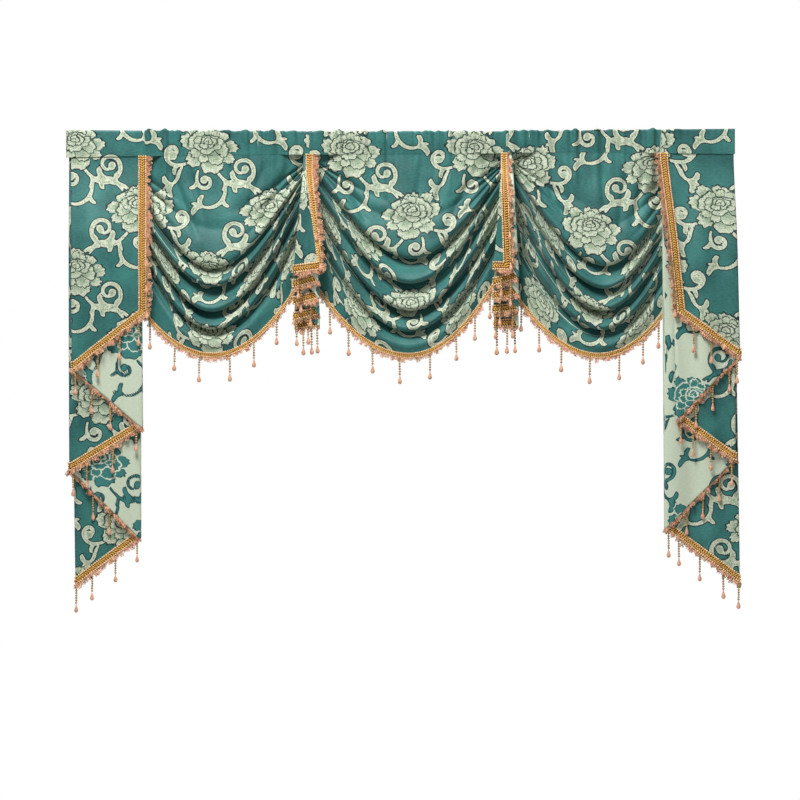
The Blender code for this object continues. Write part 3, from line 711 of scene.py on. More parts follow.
# The lines that the cloth passes through on its way down, each with its kind.
def swagLines(swag):
    folds = [dict(zip(foldColumns, row)) for row in swag["folds"]]
    hem = dict(zip(foldColumns, swag["hem"]))
    first = folds[0]
    seam = [float(seamDepth(x)) for x in (swag["leftX"], first["dipX"], swag["rightX"])]
    lines = []

    def addLine(kind, left, dip, right, forward, roundness, tuck=0.0, dipX=first["dipX"]):
        lines.append({
            "kind": kind, "left": left, "dipX": dipX, "dip": dip, "right": right,
            "forward": forward, "roundness": roundness, "tuck": tuck,
        })

    for drop in (-heading["seamLap"], 0.003):
        addLine("seam", seam[0] + drop, seam[1] + drop, seam[2] + drop, 0.0, 0.5)
    for share, forward in ((0.36, 0.42), (0.72, 0.80)):
        left, dip, right = (mix(s, first[side], share) for s, side in zip(seam, ("left", "dip", "right")))
        addLine("panel", left, dip, right, first["forward"] * forward, first["roundness"])
    for fold, below in zip(folds, (*folds[1:], hem)):
        sides = fold["left"], fold["dip"], fold["right"]
        addLine("ridge", *sides, fold["forward"], fold["roundness"], dipX=fold["dipX"])
        if below is hem:
            break
        for kind, lower, lip, tuck in (("lip", 0.25, 1.0, 0.4), ("tuck", 0.50, 0.8, 1.0)):
            addLine(
                kind, mix(fold["left"], below["left"], lower), fold["dip"] + lip * swagCut["lip"],
                mix(fold["right"], below["right"], lower), fold["forward"],
                mix(fold["roundness"], below["roundness"], lower * 0.5), tuck * fold["tuck"], fold["dipX"],
            )
    for kind, up in (("braid", swagCut["braidZone"]), ("hem", 0.0)):
        sides = hem["left"] - up, hem["dip"] - up, hem["right"] - up
        addLine(kind, *sides, hem["forward"], hem["roundness"], dipX=hem["dipX"])
    return lines


# Where a line of the swag stands: t is -1 where its left side shows, 0 at the dip and 1 at the right side.
def linePoints(swag, line, t):
    sideX = np.where(t < 0, swag["leftX"], swag["rightX"])
    side = np.where(t < 0, line["left"], line["right"])
    x = mix(line["dipX"], sideX, abs(t))
    blunt = line["roundness"]
    z = -mix(line["dip"], side, (np.hypot(t, blunt) - blunt) / (math.hypot(1, blunt) - blunt))
    cut = swagCut
    if line["kind"] == "seam":
        y = mix(cut["top"], cut["sideTop"], smoothStep(cut["sideFrom"], cut["seamSideBy"], abs(t)))
        return np.stack([x, y, z], -1)
    bulge = np.maximum(0, 1 - t * t) ** cut["bulge"]
    forward = line["forward"] * bulge + cut["sideLift"] * (1 - bulge)
    tucked = cut["tuckDeeper"] * line["tuck"] * (1 - cut["tuckFade"] * np.minimum(1, abs(t)) ** 3)
    low = smoothStep(cut["lowFrom"], cut["lowBy"], -z)
    sideY = mix(cut["sideTop"] + cut["sideLift"], cut["sideLow"], low)
    back = mix(cut["sideLow"], sideY, smoothStep(cut["sideFrom"], cut["sideBy"], abs(t)))
    return np.stack([x, back - forward + tucked, z], -1)


# A centripetal curve from p1 to p2 at every column.
def through(p0, p1, p2, p3, share):
    def gap(a, b):
        return np.sqrt(np.maximum(np.linalg.norm(b - a, axis=-1, keepdims=True), 1e-7))

    t1 = gap(p0, p1)
    t2 = t1 + gap(p1, p2)
    t3 = t2 + gap(p2, p3)
    t = mix(t1, t2, share)
    a1 = mix(p0, p1, t / t1)
    a2 = mix(p1, p2, (t - t1) / (t2 - t1))
    a3 = mix(p2, p3, (t - t2) / (t3 - t2))
    b1 = mix(a1, a2, t / t2)
    b2 = mix(a2, a3, (t - t1) / (t3 - t1))
    return mix(b1, b2, (t - t1) / (t2 - t1))


# The swag's middle surface, and the grid row on which each of its lines lies.
def swagGrid(swag):
    lines = swagLines(swag)
    t = np.linspace(-1, 1, swagCut["columns"] + 1) * (1 + swagCut["sideLap"])
    rows = [linePoints(swag, line, t) for line in lines]
    rows = [2 * rows[0] - rows[1], *rows, 2 * rows[-1] - rows[-2]]
    middle = len(t) // 2
    grid, marks = [], []
    for k in range(1, len(rows) - 2):
        marks.append(len(grid))
        steps = max(3, math.ceil(np.linalg.norm(rows[k + 1][middle] - rows[k][middle]) / swagCut["rowStep"]))
        if k == len(rows) - 3 and (len(grid) + steps) % 2:
            steps += 1
        grid += [through(*rows[k - 1:k + 3], step / steps) for step in range(steps)]
    marks.append(len(grid))
    grid = np.array([*grid, rows[-2]])
    return grid, marks, lines, t


# How far soft dents push the cloth back.
def dents(x, z, table):
    push = np.zeros(np.broadcast(x, z).shape)
    for ax, az, bx, bz, deep, half in table:
        dx, dz = bx - ax, bz - az
        along = ((x - ax) * dx + (z - az) * dz) / (dx * dx + dz * dz)
        kept = np.clip(along, 0, 1)
        away = np.hypot(x - ax - kept * dx, z - az - kept * dz)
        fade = np.sin(math.pi * kept) ** 0.7 * ((along > 0) & (along < 1))
        push = push + deep * fade * np.exp(-((away / half) ** 2))
    return push


# The creased surface, its places on the cloth and its marks.
def swagCloth(swag):
    grid, marks, lines, t = swagGrid(swag)
    x, z = grid[..., 0], grid[..., 2]
    kinds = [line["kind"] for line in lines]
    ridges = [mark for mark, kind in zip(marks, kinds) if kind == "ridge"]
    tucks = [mark for mark, kind in zip(marks, kinds) if kind == "tuck"]
    middle = len(t) // 2
    down = np.linalg.norm(np.diff(grid, axis=0), axis=-1)
    arc = np.concatenate([np.zeros((1, len(t))), np.cumsum(down, axis=0)])
    across = np.linalg.norm(np.diff(grid, axis=1), axis=-1)
    run = np.concatenate([np.zeros((len(grid), 1)), np.cumsum(across, axis=1)], axis=1)
    run = run - run[:, middle:middle + 1]
    u, v = x - swag["folds"][0][1], arc.copy()
    for k, tuck in enumerate(tucks):
        ridge, last = ridges[k + 1], tucks[k + 1] + 1 if k + 1 < len(tucks) else len(grid)
        span = slice(tuck + 1, last)
        v[span] = arc[ridge, middle] + arc[span] - arc[ridge]
        u[span] = run[span]
    # the dents, and small pleats that split each fold towards the sides
    rowsAt = np.arange(len(grid))[:, None]
    push = dents(x, z, dentTable)
    for k, ridge in enumerate(ridges):
        start = tucks[k - 1] if k else marks[2]
        for n, (place, deep, half, kept) in enumerate(pleatTable):
            phase = 2.1 * k + 1.3 * n + swag["leftX"] * 9
            wander = swagCut["pleatWander"] * np.sin(3.1 * t + phase)
            away = abs((rowsAt - start) / (ridge - start) - place - wander) / half
            sideways = smoothStep(swagCut["pleatsFrom"], swagCut["pleatsBy"], abs(t + 0.14 * math.sin(phase)))
            push = push + deep * np.exp(-(away ** 1.5)) * mix(kept, 1, sideways)
    free = smoothStep(swagCut["freeFrom"], swagCut["freeBy"], -z)
    # the heading's gathers run on into the cloth
    start, length = heading["smallReach"]
    ripple = gatherLift(x) * np.clip(1 + z / heading["reach"], 0, 1)
    ripple = ripple + smallGathers(x) * 0.55 * np.clip(1 + (z + start) / length, 0, 1)
    sway = swagCut["sway"] * np.sin(x * 41 + z * 23) * np.sin(z * 37 - x * 11)
    grid = grid.copy()
    grid[..., 1] += (push + sway) * free - ripple
    return grid, u, v, marks


# The cascades: tails and jabots

# Rows: x of each fold at the top and at the hem, and the hem's depth there. Drops: shares along each layer's
# hem. Edge drops: depths down the front edge. A return drop over 1 keeps the back layers' hems high.
cascades = (
    {
        "kind": "tail", "name": "left", "patternAt": (0.311, 0.147), "flat": (1.13, 1.30), "area": 1.06,
        "rows": (
            (-0.7600, -0.7560, 0.543), (-0.9850, -0.9780, 0.714), (-0.7735, -0.7680, 0.886),
            (-0.9915, -0.9880, 1.015), (-0.7755, -0.7750, 1.216), (-0.9915, -0.9720, 1.358),
        ),
        "drops": ((0.10, 0.36, 0.66, 0.97), (0.27, 0.55, 0.93), (0.40, 0.77, 0.97), (0.32, 0.56, 0.97),
                  (0.37, 0.73, 0.98)),
        "edgeDrops": (0.235, 0.320, 0.405, 0.480),
    },
    {
        "kind": "tail", "name": "right", "patternAt": (0.324, 0.340), "flat": (1.05, 1.30), "area": 0.98,
        "rows": (
            (0.7760, 0.8250, 0.543), (0.9960, 1.0110, 0.674), (0.8080, 0.8220, 0.862),
            (0.9960, 1.0000, 0.984), (0.7810, 0.7880, 1.188), (0.9950, 1.0150, 1.350),
        ),
        "drops": ((0.27, 0.55, 0.97), (0.14, 0.42, 0.70, 0.96), (0.27, 0.58, 0.95), (0.21, 0.45, 0.70),
                  (0.03, 0.17, 0.46, 0.77, 0.98)),
        "edgeDrops": (0.198, 0.290, 0.386, 0.475),
    },
    {
        "kind": "jabot", "name": "left", "patternAt": (0.020, 0.100), "flat": (0.50, 0.53), "area": 0.22,
        "rows": (
            (-0.2620, -0.2300, 0.416), (-0.2900, -0.3180, 0.427), (-0.2610, -0.2430, 0.452),
            (-0.2900, -0.3180, 0.470), (-0.2600, -0.2420, 0.502), (-0.2900, -0.3170, 0.520),
            (-0.2590, -0.2410, 0.550), (-0.2900, -0.3170, 0.566), (-0.2590, -0.2410, 0.584),
            (-0.2900, -0.3150, 0.592),
        ),
        "narrowing": 0.55, "returnDrop": 6.0,
        "drops": ((0.85,), (), (0.70,), (), (0.30,), (), (0.45, 0.93), (), (0.06, 0.30, 0.65)),
        "edgeDrops": (0.250, 0.345),
    },
    {
        "kind": "jabot", "name": "right", "patternAt": (0.300, 0.100), "flat": (0.52, 0.53), "area": 0.23,
        "rows": (
            (0.3190, 0.3290, 0.418), (0.2990, 0.2770, 0.417), (0.3360, 0.3520, 0.443),
            (0.3000, 0.2770, 0.464), (0.3370, 0.3520, 0.490), (0.3000, 0.2760, 0.505),
            (0.3370, 0.3530, 0.537), (0.3000, 0.2760, 0.545), (0.3370, 0.3520, 0.584),
            (0.3000, 0.2780, 0.588),
        ),
        "narrowing": 1.0, "returnDrop": 6.0,
        "drops": ((0.60,), (), (0.30,), (), (0.75,), (), (0.20, 0.92), (), (0.10, 0.42, 0.86)),
        "edgeDrops": (0.250, 0.340),
    },
)
# The front layer's y at the top and low down, the depths at which it has come forward and starts to spread,
# and how far each pale and each patterned layer stands behind the one in front
cascadeCut = {
    "tail": {
        "frontTop": 0.0026, "frontLow": -0.0400, "forwardBy": 0.38, "spreadFrom": 0.085,
        "pitchTop": 0.0027, "pitchPale": 0.0080, "pitchFace": 0.0115, "rows": 270, "wave": 0.0036,
    },
    "jabot": {
        "frontTop": 0.0026, "frontLow": -0.0660, "forwardBy": 0.21, "spreadFrom": 0.13,
        "pitchTop": 0.0021, "pitchPale": 0.0036, "pitchFace": 0.0082, "rows": 126, "wave": 0.0008,
    },
}
opensAt = 0.080  # depth at which the layers start to part


# Which way fold k points: 1 to the right, -1 to the left.
def sideOf(cascade, k):
    top = np.array(cascade["rows"])[:, 0]
    return np.sign(top[k] - top[np.where(k > 0, k - 1, 1)])


# How far back a layer lies at a height.
def layerY(cascade, layer, z):
    cut = cascadeCut[cascade["kind"]]
    share = smoothStep(opensAt, cut["forwardBy"], -z)
    faces = layer // 2
    y = mix(cut["frontTop"], cut["frontLow"], share)
    y = y + (layer - faces) * mix(cut["pitchTop"], cut["pitchPale"], share)
    return y + faces * mix(cut["pitchTop"], cut["pitchFace"], share)


# Where fold k turns at a height.
def turnX(cascade, k, z):
    table = np.array(cascade["rows"])
    start = cascadeCut[cascade["kind"]]["spreadFrom"]
    share = np.clip((-z - start) / (table[k, 2] - start), 0, 1)
    return mix(table[k, 0], table[k, 1], share)


# Soft waves that all layers share, so that they stay clear of one another.
def waves(cascade, x, z):
    size = cascadeCut[cascade["kind"]]["wave"]
    fade = smoothStep(0.10, 0.30, -z)
    return size * fade * (np.sin(x * 62 + 2.1 * z) + 0.55 * np.sin(x * 27 - 7.3 * z + 1.0))


# Points of the middle surface and their patterned side's direction. q counts layers and folds.
def cascadePoints(cascade, q, z):
    q, z = np.broadcast_arrays(np.asarray(q, float), np.asarray(z, float))
    last = len(cascade["rows"]) - 1
    part = np.minimum(q.astype(int), 2 * last - 2)
    share = q - part
    layer = (part + 1) // 2
    folded = part % 2 == 1
    side = sideOf(cascade, layer)
    near, far = layerY(cascade, np.maximum(layer - 1, 0), z), layerY(cascade, layer, z)
    radius = (far - near) / 2
    angle = math.pi * (share - 0.5)
    foldX = turnX(cascade, layer, z) - side * radius + side * np.cos(angle) * radius
    foldY = (near + far) / 2 + np.sin(angle) * radius
    ends = []
    for k in (layer, np.minimum(layer + 1, last)):
        inner = (k > 0) & (k < last)
        bend = np.where(inner, (layerY(cascade, k, z) - layerY(cascade, k - 1, z)) / 2, 0)
        ends.append(turnX(cascade, k, z) - sideOf(cascade, k) * bend)
    x = np.where(folded, foldX, mix(ends[0], ends[1], share))
    y = np.where(folded, foldY, far) + waves(cascade, x, z)
    sign = np.where(layer % 2 == 1, 1.0, -1.0)
    outX = np.where(folded, side * np.cos(angle) * sign, 0)
    outY = np.where(folded, np.sin(angle) * sign, sign)
    return np.stack([x, y, z], -1), np.stack([outX, outY, np.zeros_like(outX)], -1)


# The hem's height at a place along the cloth.
def hemZ(cascade, q):
    drop = np.array(cascade["rows"])[:, 2]
    last = len(drop) - 1
    q = np.asarray(q, float)
    part = np.minimum(q.astype(int), 2 * last - 2)
    layer = (part + 1) // 2
    # a return's hem keeps high at first and drops near its second fold
    share = (q - part) ** np.where(layer % 2 == 1, cascade.get("returnDrop", 1.0), 1.0)
    return -np.where(part % 2 == 1, drop[layer], mix(drop[layer], drop[np.minimum(layer + 1, last)], share))


# The places along the cloth where its columns lie.
def cascadeSteps(cascade):
    table = np.array(cascade["rows"])
    steps = []
    for part in range(2 * len(table) - 3):
        layer = (part + 1) // 2
        if part % 2:
            count = cloth["foldSteps"]
        else:
            count = max(4, math.ceil(abs(table[layer + 1, 1] - table[layer, 1]) / cloth["step"]))
        steps += [part + k / count for k in range(count)]
    return np.array([*steps, 2 * len(table) - 3.0])


# Heights of the rows at each place: they lie closer together below the layer in front, but evenly on the
# last layer, which shows from behind.
def rowHeights(cascade, q, top, count):
    drop = np.array(cascade["rows"])[:, 2]
    covered = np.concatenate([[-top, -top], drop[:-2]])
    fold = (q + 1) / 2
    cover = -np.interp(fold, np.arange(len(drop)) + 0.5, covered)
    low = hemZ(cascade, q)
    hidden = (top - cover) / (top - low)
    kept = mix(0.2, 1.0, smoothStep(-1, 0, q - 2 * (len(drop) - 2)))
    rows = hidden * kept / (hidden * kept + 1 - hidden)
    share = np.linspace(0, 1, count + 1)[:, None]
    above = share * hidden / np.maximum(rows, 1e-9)
    down = np.where(share < rows, above, mix(hidden, 1, (share - rows) / (1 - rows)))
    return mix(top, low, down)


def makeCascade(cascade):
    q = cascadeSteps(cascade)
    top = -float(seamDepth(cascade["rows"][0][0])) + heading["seamLap"]
    z = rowHeights(cascade, q, top, cascadeCut[cascade["kind"]]["rows"])
    # the last layer, which shows from behind, uses every row, and the others every third
    fine = q > 2 * len(cascade["rows"]) - 4.2
    grid = cascadePoints(cascade, np.broadcast_to(q, z.shape), z)[0]
    low = cascadePoints(cascade, q, np.full(len(q), cascade["rows"][0][2] * -0.95))[0]
    u = np.concatenate([[0], np.cumsum(np.linalg.norm(np.diff(low, axis=0), axis=-1))])
    u = np.broadcast_to(u, z.shape)
    if sideOf(cascade, np.array(1)) < 0:
        grid, u, z, fine = grid[:, ::-1], -u[:, ::-1], z[:, ::-1], fine[::-1]
    name = cascade["kind"] + cascade["name"].capitalize() + "Cloth"
    at = cascade["patternAt"]
    finishes = (faceCloth, backCloth)
    piece = makeSheet(name, grid, u + at[0], z + at[1], cloth["thickness"], finishes, field, fine=fine)
    dress(piece, f"{cascade['kind']}_{cascade['name']}")
    return piece


# Braid, fringe and bead drops

# Width of the braid, length of its fringe's loops and of its bead drops
braids = {
    "swag": {"width": 0.0145, "fringe": 0.0165, "drop": 0.0800},
    "tail": {"width": 0.0240, "fringe": 0.0195, "drop": 0.0840},
    "jabot": {"width": 0.0240, "fringe": 0.0195, "drop": 0.0815},
}
braidCut = {
    "thickness": 0.0012,
    "clear": 0.0005,  # between the cloth and the braid
    "crown": 0.0003,
    "fringeUp": 0.001,  # how far the fringe starts above the braid's low edge
    "dropOut": 0.0032,  # how far the drops hang in front of the braid
    "fullWidth": 0.0235,  # the stitches below are for a braid this wide
    "loopLength": 0.0105,  # and a clump of loops is as long as this
}
# How far apart the pieces of a row stand, their smallest and largest size and how far they lean
rowsOfStitches = {
    "plait": {"spacing": 0.0074, "smallest": 0.95, "largest": 1.08, "tilt": 0.10},
    "edge": {"spacing": 0.0068, "smallest": 0.85, "largest": 1.10, "tilt": 0.20},
    "fringe": {"spacing": 0.0055, "smallest": 0.42, "largest": 1.16, "tilt": 0.62},
}


# An empty tree with these sizes as inputs, and a seed, a piece and a finish.
def newTree(name, sizes):
    tree = bpy.data.node_groups.new(name, "GeometryNodeTree")
    inputs = {label: "NodeSocketFloat" for label in sizes}
    inputs.update({"Seed": "NodeSocketInt", "Piece": "NodeSocketObject", "Finish": "NodeSocketMaterial"})
    tree.interface.new_socket("Geometry", in_out="INPUT", socket_type="NodeSocketGeometry")
    for label, kind in inputs.items():
        tree.interface.new_socket(label, in_out="INPUT", socket_type=kind)
    tree.interface.new_socket("Geometry", in_out="OUTPUT", socket_type="NodeSocketGeometry")
    source = Wire(tree).node("NodeGroupInput")
    return tree, source, {label: source.other(label) for label in inputs}


# A random turn, up to this share of these angles either way.
def randomTurn(start, angles, share, seed):
    scaled = {"operation": "SCALE"}
    least, most = (
        start.node("ShaderNodeVectorMath", scaled, {0: [a * way for a in angles], "Scale": share})
        for way in (-1, 1)
    )
    vector = {"data_type": "FLOAT_VECTOR"}
    turn = start.node("FunctionNodeRandomValue", vector, {0: least, 1: most, "Seed": seed})
    return start.node("FunctionNodeEulerToRotation", {}, {0: turn})


# The end of a tree: copies of the piece on the points, each of its own size, made real and dyed.
def setCopies(start, given, points, turn):
    size = start.node(
        "FunctionNodeRandomValue", {"data_type": "FLOAT"},
        {2: given["Smallest"], 3: given["Largest"], "Seed": given["Seed"]}, 1,
    )
    piece = start.node("GeometryNodeObjectInfo", {}, {"Object": given["Piece"]}, "Geometry")
    copies = start.node(
        "GeometryNodeInstanceOnPoints", {},
        {"Points": points, "Instance": piece, "Rotation": turn, "Scale": size},
    )
    real = start.node("GeometryNodeRealizeInstances", {}, {"Geometry": copies})
    dyed = start.node("GeometryNodeSetMaterial", {}, {"Geometry": real, "Material": given["Finish"]})
    start.node("NodeGroupOutput", {}, {"Geometry": dyed})


# Sets copies of a piece at even steps along a line, upright on the line's own directions.
def stitchTree():
    tree, source, given = newTree("stitches along a line", ("Spacing", "Smallest", "Largest", "Tilt"))
    start = Wire(tree)
    curve = start.node("GeometryNodeMeshToCurve", {}, {"Mesh": source})
    even = start.node(
        "GeometryNodeResampleCurve", {"mode": "LENGTH"}, {"Curve": curve, "Length": given["Spacing"]}
    )
    down, out = (
        start.node("GeometryNodeInputNamedAttribute", {"data_type": "FLOAT_VECTOR"}, {"Name": label})
        for label in ("down", "out")
    )
    axes = {"primary_axis": "Y", "secondary_axis": "Z"}
    upright = start.node("FunctionNodeAxesToRotation", axes, {"Primary Axis": down, "Secondary Axis": out})
    tilt = randomTurn(start, (1, 0.4, 1), given["Tilt"], given["Seed"])
    turned = start.node(
        "FunctionNodeRotateRotation", {"rotation_space": "LOCAL"}, {"Rotation": upright, "Rotate By": tilt}
    )
    setCopies(start, given, even, turned)
    return tree


# Hangs a copy of a piece from every point, each turned a little.
def dropTree():
    tree, source, given = newTree("drops on points", ("Smallest", "Largest", "Turn"))
    start = Wire(tree)
    setCopies(start, given, source, randomTurn(start, (0, 0.05, 1), given["Turn"], given["Seed"]))
    return tree


# Runs a tree on the object with these inputs and keeps the result as a plain mesh.
def plainMesh(obj, tree, values):
    modifier = obj.modifiers.new("rows", "NODES")
    modifier.node_group = tree
    sockets = {item.name: item.identifier for item in tree.interface.items_tree if item.in_out == "INPUT"}
    for name, value in values.items():
        modifier[sockets[name]] = value
    graph = bpy.context.evaluated_depsgraph_get()
    mesh = bpy.data.meshes.new_from_object(obj.evaluated_get(graph))
    obj.modifiers.remove(modifier)
    obj.data = mesh
    return obj


# A bare line with its own directions, for a row of stitches.
def lineObject(name, points, down, out, kept=None):
    mesh = bpy.data.meshes.new(name)
    pairs = [(k, k + 1) for k in range(len(points) - 1) if kept is None or (kept[k] and kept[k + 1])]
    mesh.from_pydata(points.tolist(), pairs, [])
    for label, values in (("down", down), ("out", out)):
        values = values.astype(np.float32).ravel()
        mesh.attributes.new(label, "FLOAT_VECTOR", "POINT").data.foreach_set("vector", values)
    obj = bpy.data.objects.new(name, mesh)
    bpy.context.scene.collection.objects.link(obj)
    return obj


# Closed tubes through chains of rings of points. A ring runs anticlockwise, seen against the chain's way.
def ringMesh(name, chains, sides):
    points, faces = [], []
    for rings in chains:
        base = len(points)
        points += [point for ring in rings for point in ring]
        for k in range(len(rings) - 1):
            for s in range(sides):
                a, b = base + k * sides + s, base + k * sides + (s + 1) % sides
                faces.append((a, b, b + sides, a + sides))
        faces.append([base + s for s in range(sides)][::-1])
        faces.append([base + (len(rings) - 1) * sides + s for s in range(sides)])
    mesh = bpy.data.meshes.new(name)
    mesh.from_pydata([tuple(map(float, point)) for point in points], [], faces)
    mesh.shade_smooth()
    return bpy.data.objects.new(name, mesh)


# Threads about chains of (x, y, z, radius) rows.
def threadMesh(name, chains, sides):
    angle = 2 * math.pi * np.arange(sides)[:, None] / sides
    tubes = []
    for chain in chains:
        way = unit(np.gradient(chain[:, :3], axis=0))
        first = unit(np.cross(way, np.array([0.0, 0.0, 1.0]) + 1e-3))
        second = np.cross(way, first)
        tubes.append([
            row[:3] + row[3] * (np.cos(angle) * a + np.sin(angle) * b)
            for row, a, b in zip(chain, first, second)
        ])
    return ringMesh(name, tubes, sides)


# Beads: each profile is a list of (radius, z) pairs from the top to the bottom, turned about the Z axis.
def turnedMesh(name, profiles, sides, depth):
    angle = -2 * math.pi * np.arange(sides) / sides
    circle = np.stack([np.cos(angle), depth * np.sin(angle), np.zeros(sides)], -1)
    beads = [[circle * radius + (0, 0, z) for radius, z in profile] for profile in profiles]
    return ringMesh(name, beads, sides)


# Length, radius and lean of one stitch of the plait and of the edge
stitchCut = {"plait": (0.0092, 0.0022, 0.72), "edge": (0.0062, 0.0032, 0.35)}


# One stitch as a chain: a short fat thread that leans to one side.
def grain(row, side=1):
    length, radius, lean = stitchCut[row]
    share = np.linspace(-1, 1, 4)
    x, y = share * length / 2 * math.cos(lean), share * length / 2 * math.sin(lean * side)
    thick = radius * np.sqrt(np.maximum(1 - share ** 2, 0.10))
    return np.column_stack([x, y, 0.5 * radius * (1 - share ** 2), thick])


# A clump of three thread loops of uneven length: place along the braid, length, width, how far it stands out
fringeLoops = (
    (-0.0017, 0.0098, 0.0026, 0.0012), (0.0004, 0.0078, 0.0022, -0.0006), (0.0019, 0.0104, 0.0024, 0.0016),
)
fringeThick = 0.0007


def loops():
    angle = np.linspace(-0.85 * math.pi, 0.85 * math.pi, 6)
    down = 0.5 + 0.5 * np.cos(angle)
    return [
        np.column_stack([
            shift + spread / 2 * np.sin(angle) * (1 + 0.2 * np.cos(angle)), length * down, lean * down,
            np.full(len(angle), fringeThick),
        ])
        for shift, length, spread, lean in fringeLoops
    ]


stringOfBeads = {
    "small": 0.0038, "pitch": 0.0072, "thread": (0.0006, 0.0005), "longHalf": 0.0064, "longLength": 0.026,
    "depth": 0.74,  # how thick the beads are from front to back, as a share of their width
}
# Radius and height along a bead, as shares of its half width and its half height or whole length
smallProfile = ((0.35, 1), (0.95, 0.45), (0.95, -0.45), (0.35, -1))
longProfile = (
    (0.12, 0.0), (0.30, 0.10), (0.46, 0.30), (0.80, 0.52),
    (1.0, 0.70), (0.92, 0.84), (0.62, 0.95), (0.2, 1.0),
)


# The small beads on their string, and the long bead at its foot.
def dropPieces(drop):
    size = stringOfBeads
    length = drop - size["longLength"]
    count = int(length / size["pitch"])
    half = size["pitch"] * 0.47
    small = []
    for k in range(count):
        z = -(k + 0.5) * length / count
        small.append([(size["small"] * radius, z + half * high) for radius, high in smallProfile])
    small.append(list(zip(size["thread"], (0.0, -length))))
    long = [(size["longHalf"] * radius, -length - size["longLength"] * down) for radius, down in longProfile]
    return small, long


stitches = stitchTree()
dropsOnPoints = dropTree()
plaitLeft = threadMesh("plaitLeft", [grain("plait")], 4)
plaitRight = threadMesh("plaitRight", [grain("plait", -1)], 4)
edgeStitch = threadMesh("edgeStitch", [grain("edge")], 4)
loopClump = threadMesh("loopClump", loops(), 3)


# Several pieces made one object, each with its own finish.
def joined(name, objects):
    main = objects[0]
    chosen = {"active_object": main, "object": main, "selected_objects": objects}
    with bpy.context.temp_override(**chosen, selected_editable_objects=objects):
        bpy.ops.object.join()
    main.name = name
    main.data.name = name
    return main


# A braid between two rails on the cloth, with its stitches, its fringe and its bead drops. dropAt holds
# places along the low rail.
def makeBraid(kind, name, low, high, lowOut, highOut, dropAt, seed, fringed=None):
    size = braids[kind]
    label = kind + name.capitalize()
    away = unit(low - high)
    lift = cloth["thickness"] / 2 + braidCut["clear"] + braidCut["thickness"] / 2
    across = np.linspace(0, 1, 4)
    rail = []
    for share in across:
        out = unit(mix(highOut, lowOut, share))
        crown = braidCut["crown"] * math.sin(math.pi * share)
        rail.append(mix(high, low, share) + out * (lift + crown))
    grid = np.array(rail)
    middle = mix(high, low, 0.5)
    run = np.concatenate([[0], np.cumsum(np.linalg.norm(np.diff(middle, axis=0), axis=-1))])
    u = np.broadcast_to(run, grid.shape[:2])
    v = np.broadcast_to(across[:, None] * size["width"], grid.shape[:2])
    facing = np.sum(gridNormals(grid) * mix(highOut, lowOut, 0.5)[None], axis=-1).mean()
    if facing < 0:
        grid, u, v = grid[:, ::-1], u[:, ::-1], v[:, ::-1]
    parts = [makeSheet(label + "Band", grid, u, v, braidCut["thickness"], (braidGround,))]
    rows = (
        ("plait", 0.38, plaitLeft, goldThread), ("plait", 0.62, plaitRight, goldThread),
        ("edge", 0.08, edgeStitch, peachThread), ("edge", 0.92, edgeStitch, peachThread),
    )
    # a narrower braid has smaller stitches, closer together
    wide = size["width"] / braidCut["fullWidth"]
    closer, smaller = mix(0.55, 1, wide), mix(0.45, 1, wide)
    for k, (row, share, piece, finish) in enumerate(rows):
        out = unit(mix(highOut, lowOut, share))
        points = mix(high, low, share) + out * (lift + braidCut["thickness"] / 2)
        line = lineObject(label + row + str(k), points, away, out)
        look = rowsOfStitches[row]
        parts.append(plainMesh(line, stitches, {
            "Spacing": look["spacing"] * closer, "Smallest": look["smallest"] * smaller,
            "Largest": look["largest"] * smaller, "Tilt": look["tilt"], "Seed": seed + k,
            "Piece": piece, "Finish": finish,
        }))
    band = joined(f"{label}Braid", parts)
    look = rowsOfStitches["fringe"]
    longer = size["fringe"] / braidCut["loopLength"]
    starts = low - away * braidCut["fringeUp"] + lowOut * lift
    line = lineObject(label + "Fringe", starts, away, unit(lowOut), fringed)
    fringe = plainMesh(line, stitches, {
        "Spacing": look["spacing"], "Smallest": look["smallest"] * longer,
        "Largest": look["largest"] * longer, "Tilt": look["tilt"], "Seed": seed + 9,
        "Piece": loopClump, "Finish": fringeThread,
    })
    places = []
    for place in dropAt:
        k = min(int(place), len(low) - 2)
        point = mix(low[k], low[k + 1], place - k)
        out = unit(mix(lowOut[k], lowOut[k + 1], place - k))
        places.append(point + out * (lift + braidCut["dropOut"]))
    places = np.array(places)
    small, long = dropPieces(size["drop"])
    hung = []
    for part, profiles, sides, finish in (("String", small, 5, smallBead), ("Bead", [long], 10, longBead)):
        piece = turnedMesh(label + part, profiles, sides, stringOfBeads["depth"])
        points = lineObject(label + part + "Points", places, places, places)
        hung.append(plainMesh(points, dropsOnPoints, {
            "Smallest": 0.95, "Largest": 1.03, "Turn": 0.5, "Seed": seed + 20,
            "Piece": piece, "Finish": finish,
        }))
        bpy.data.objects.remove(piece)
    beads = joined(f"{label}Drops", hung)
    for piece in (band, fringe, beads):
        piece.data.shade_smooth()
        dress(piece, None)
    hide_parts(f"braid_{kind}_{name}")
    return [band, fringe, beads]


# Where wanted keys fall along stations, as a station and a share of the way to the next.
def placesOf(keys, wanted):
    return [float(np.interp(value, keys, np.arange(len(keys)))) for value in wanted]


# How far a strip of this width reaches over the front layer at a height, as a share of the layer.
def stripShare(cascade, width, z):
    return np.minimum(0.95, width / abs(turnX(cascade, 1, z) - turnX(cascade, 0, z)))


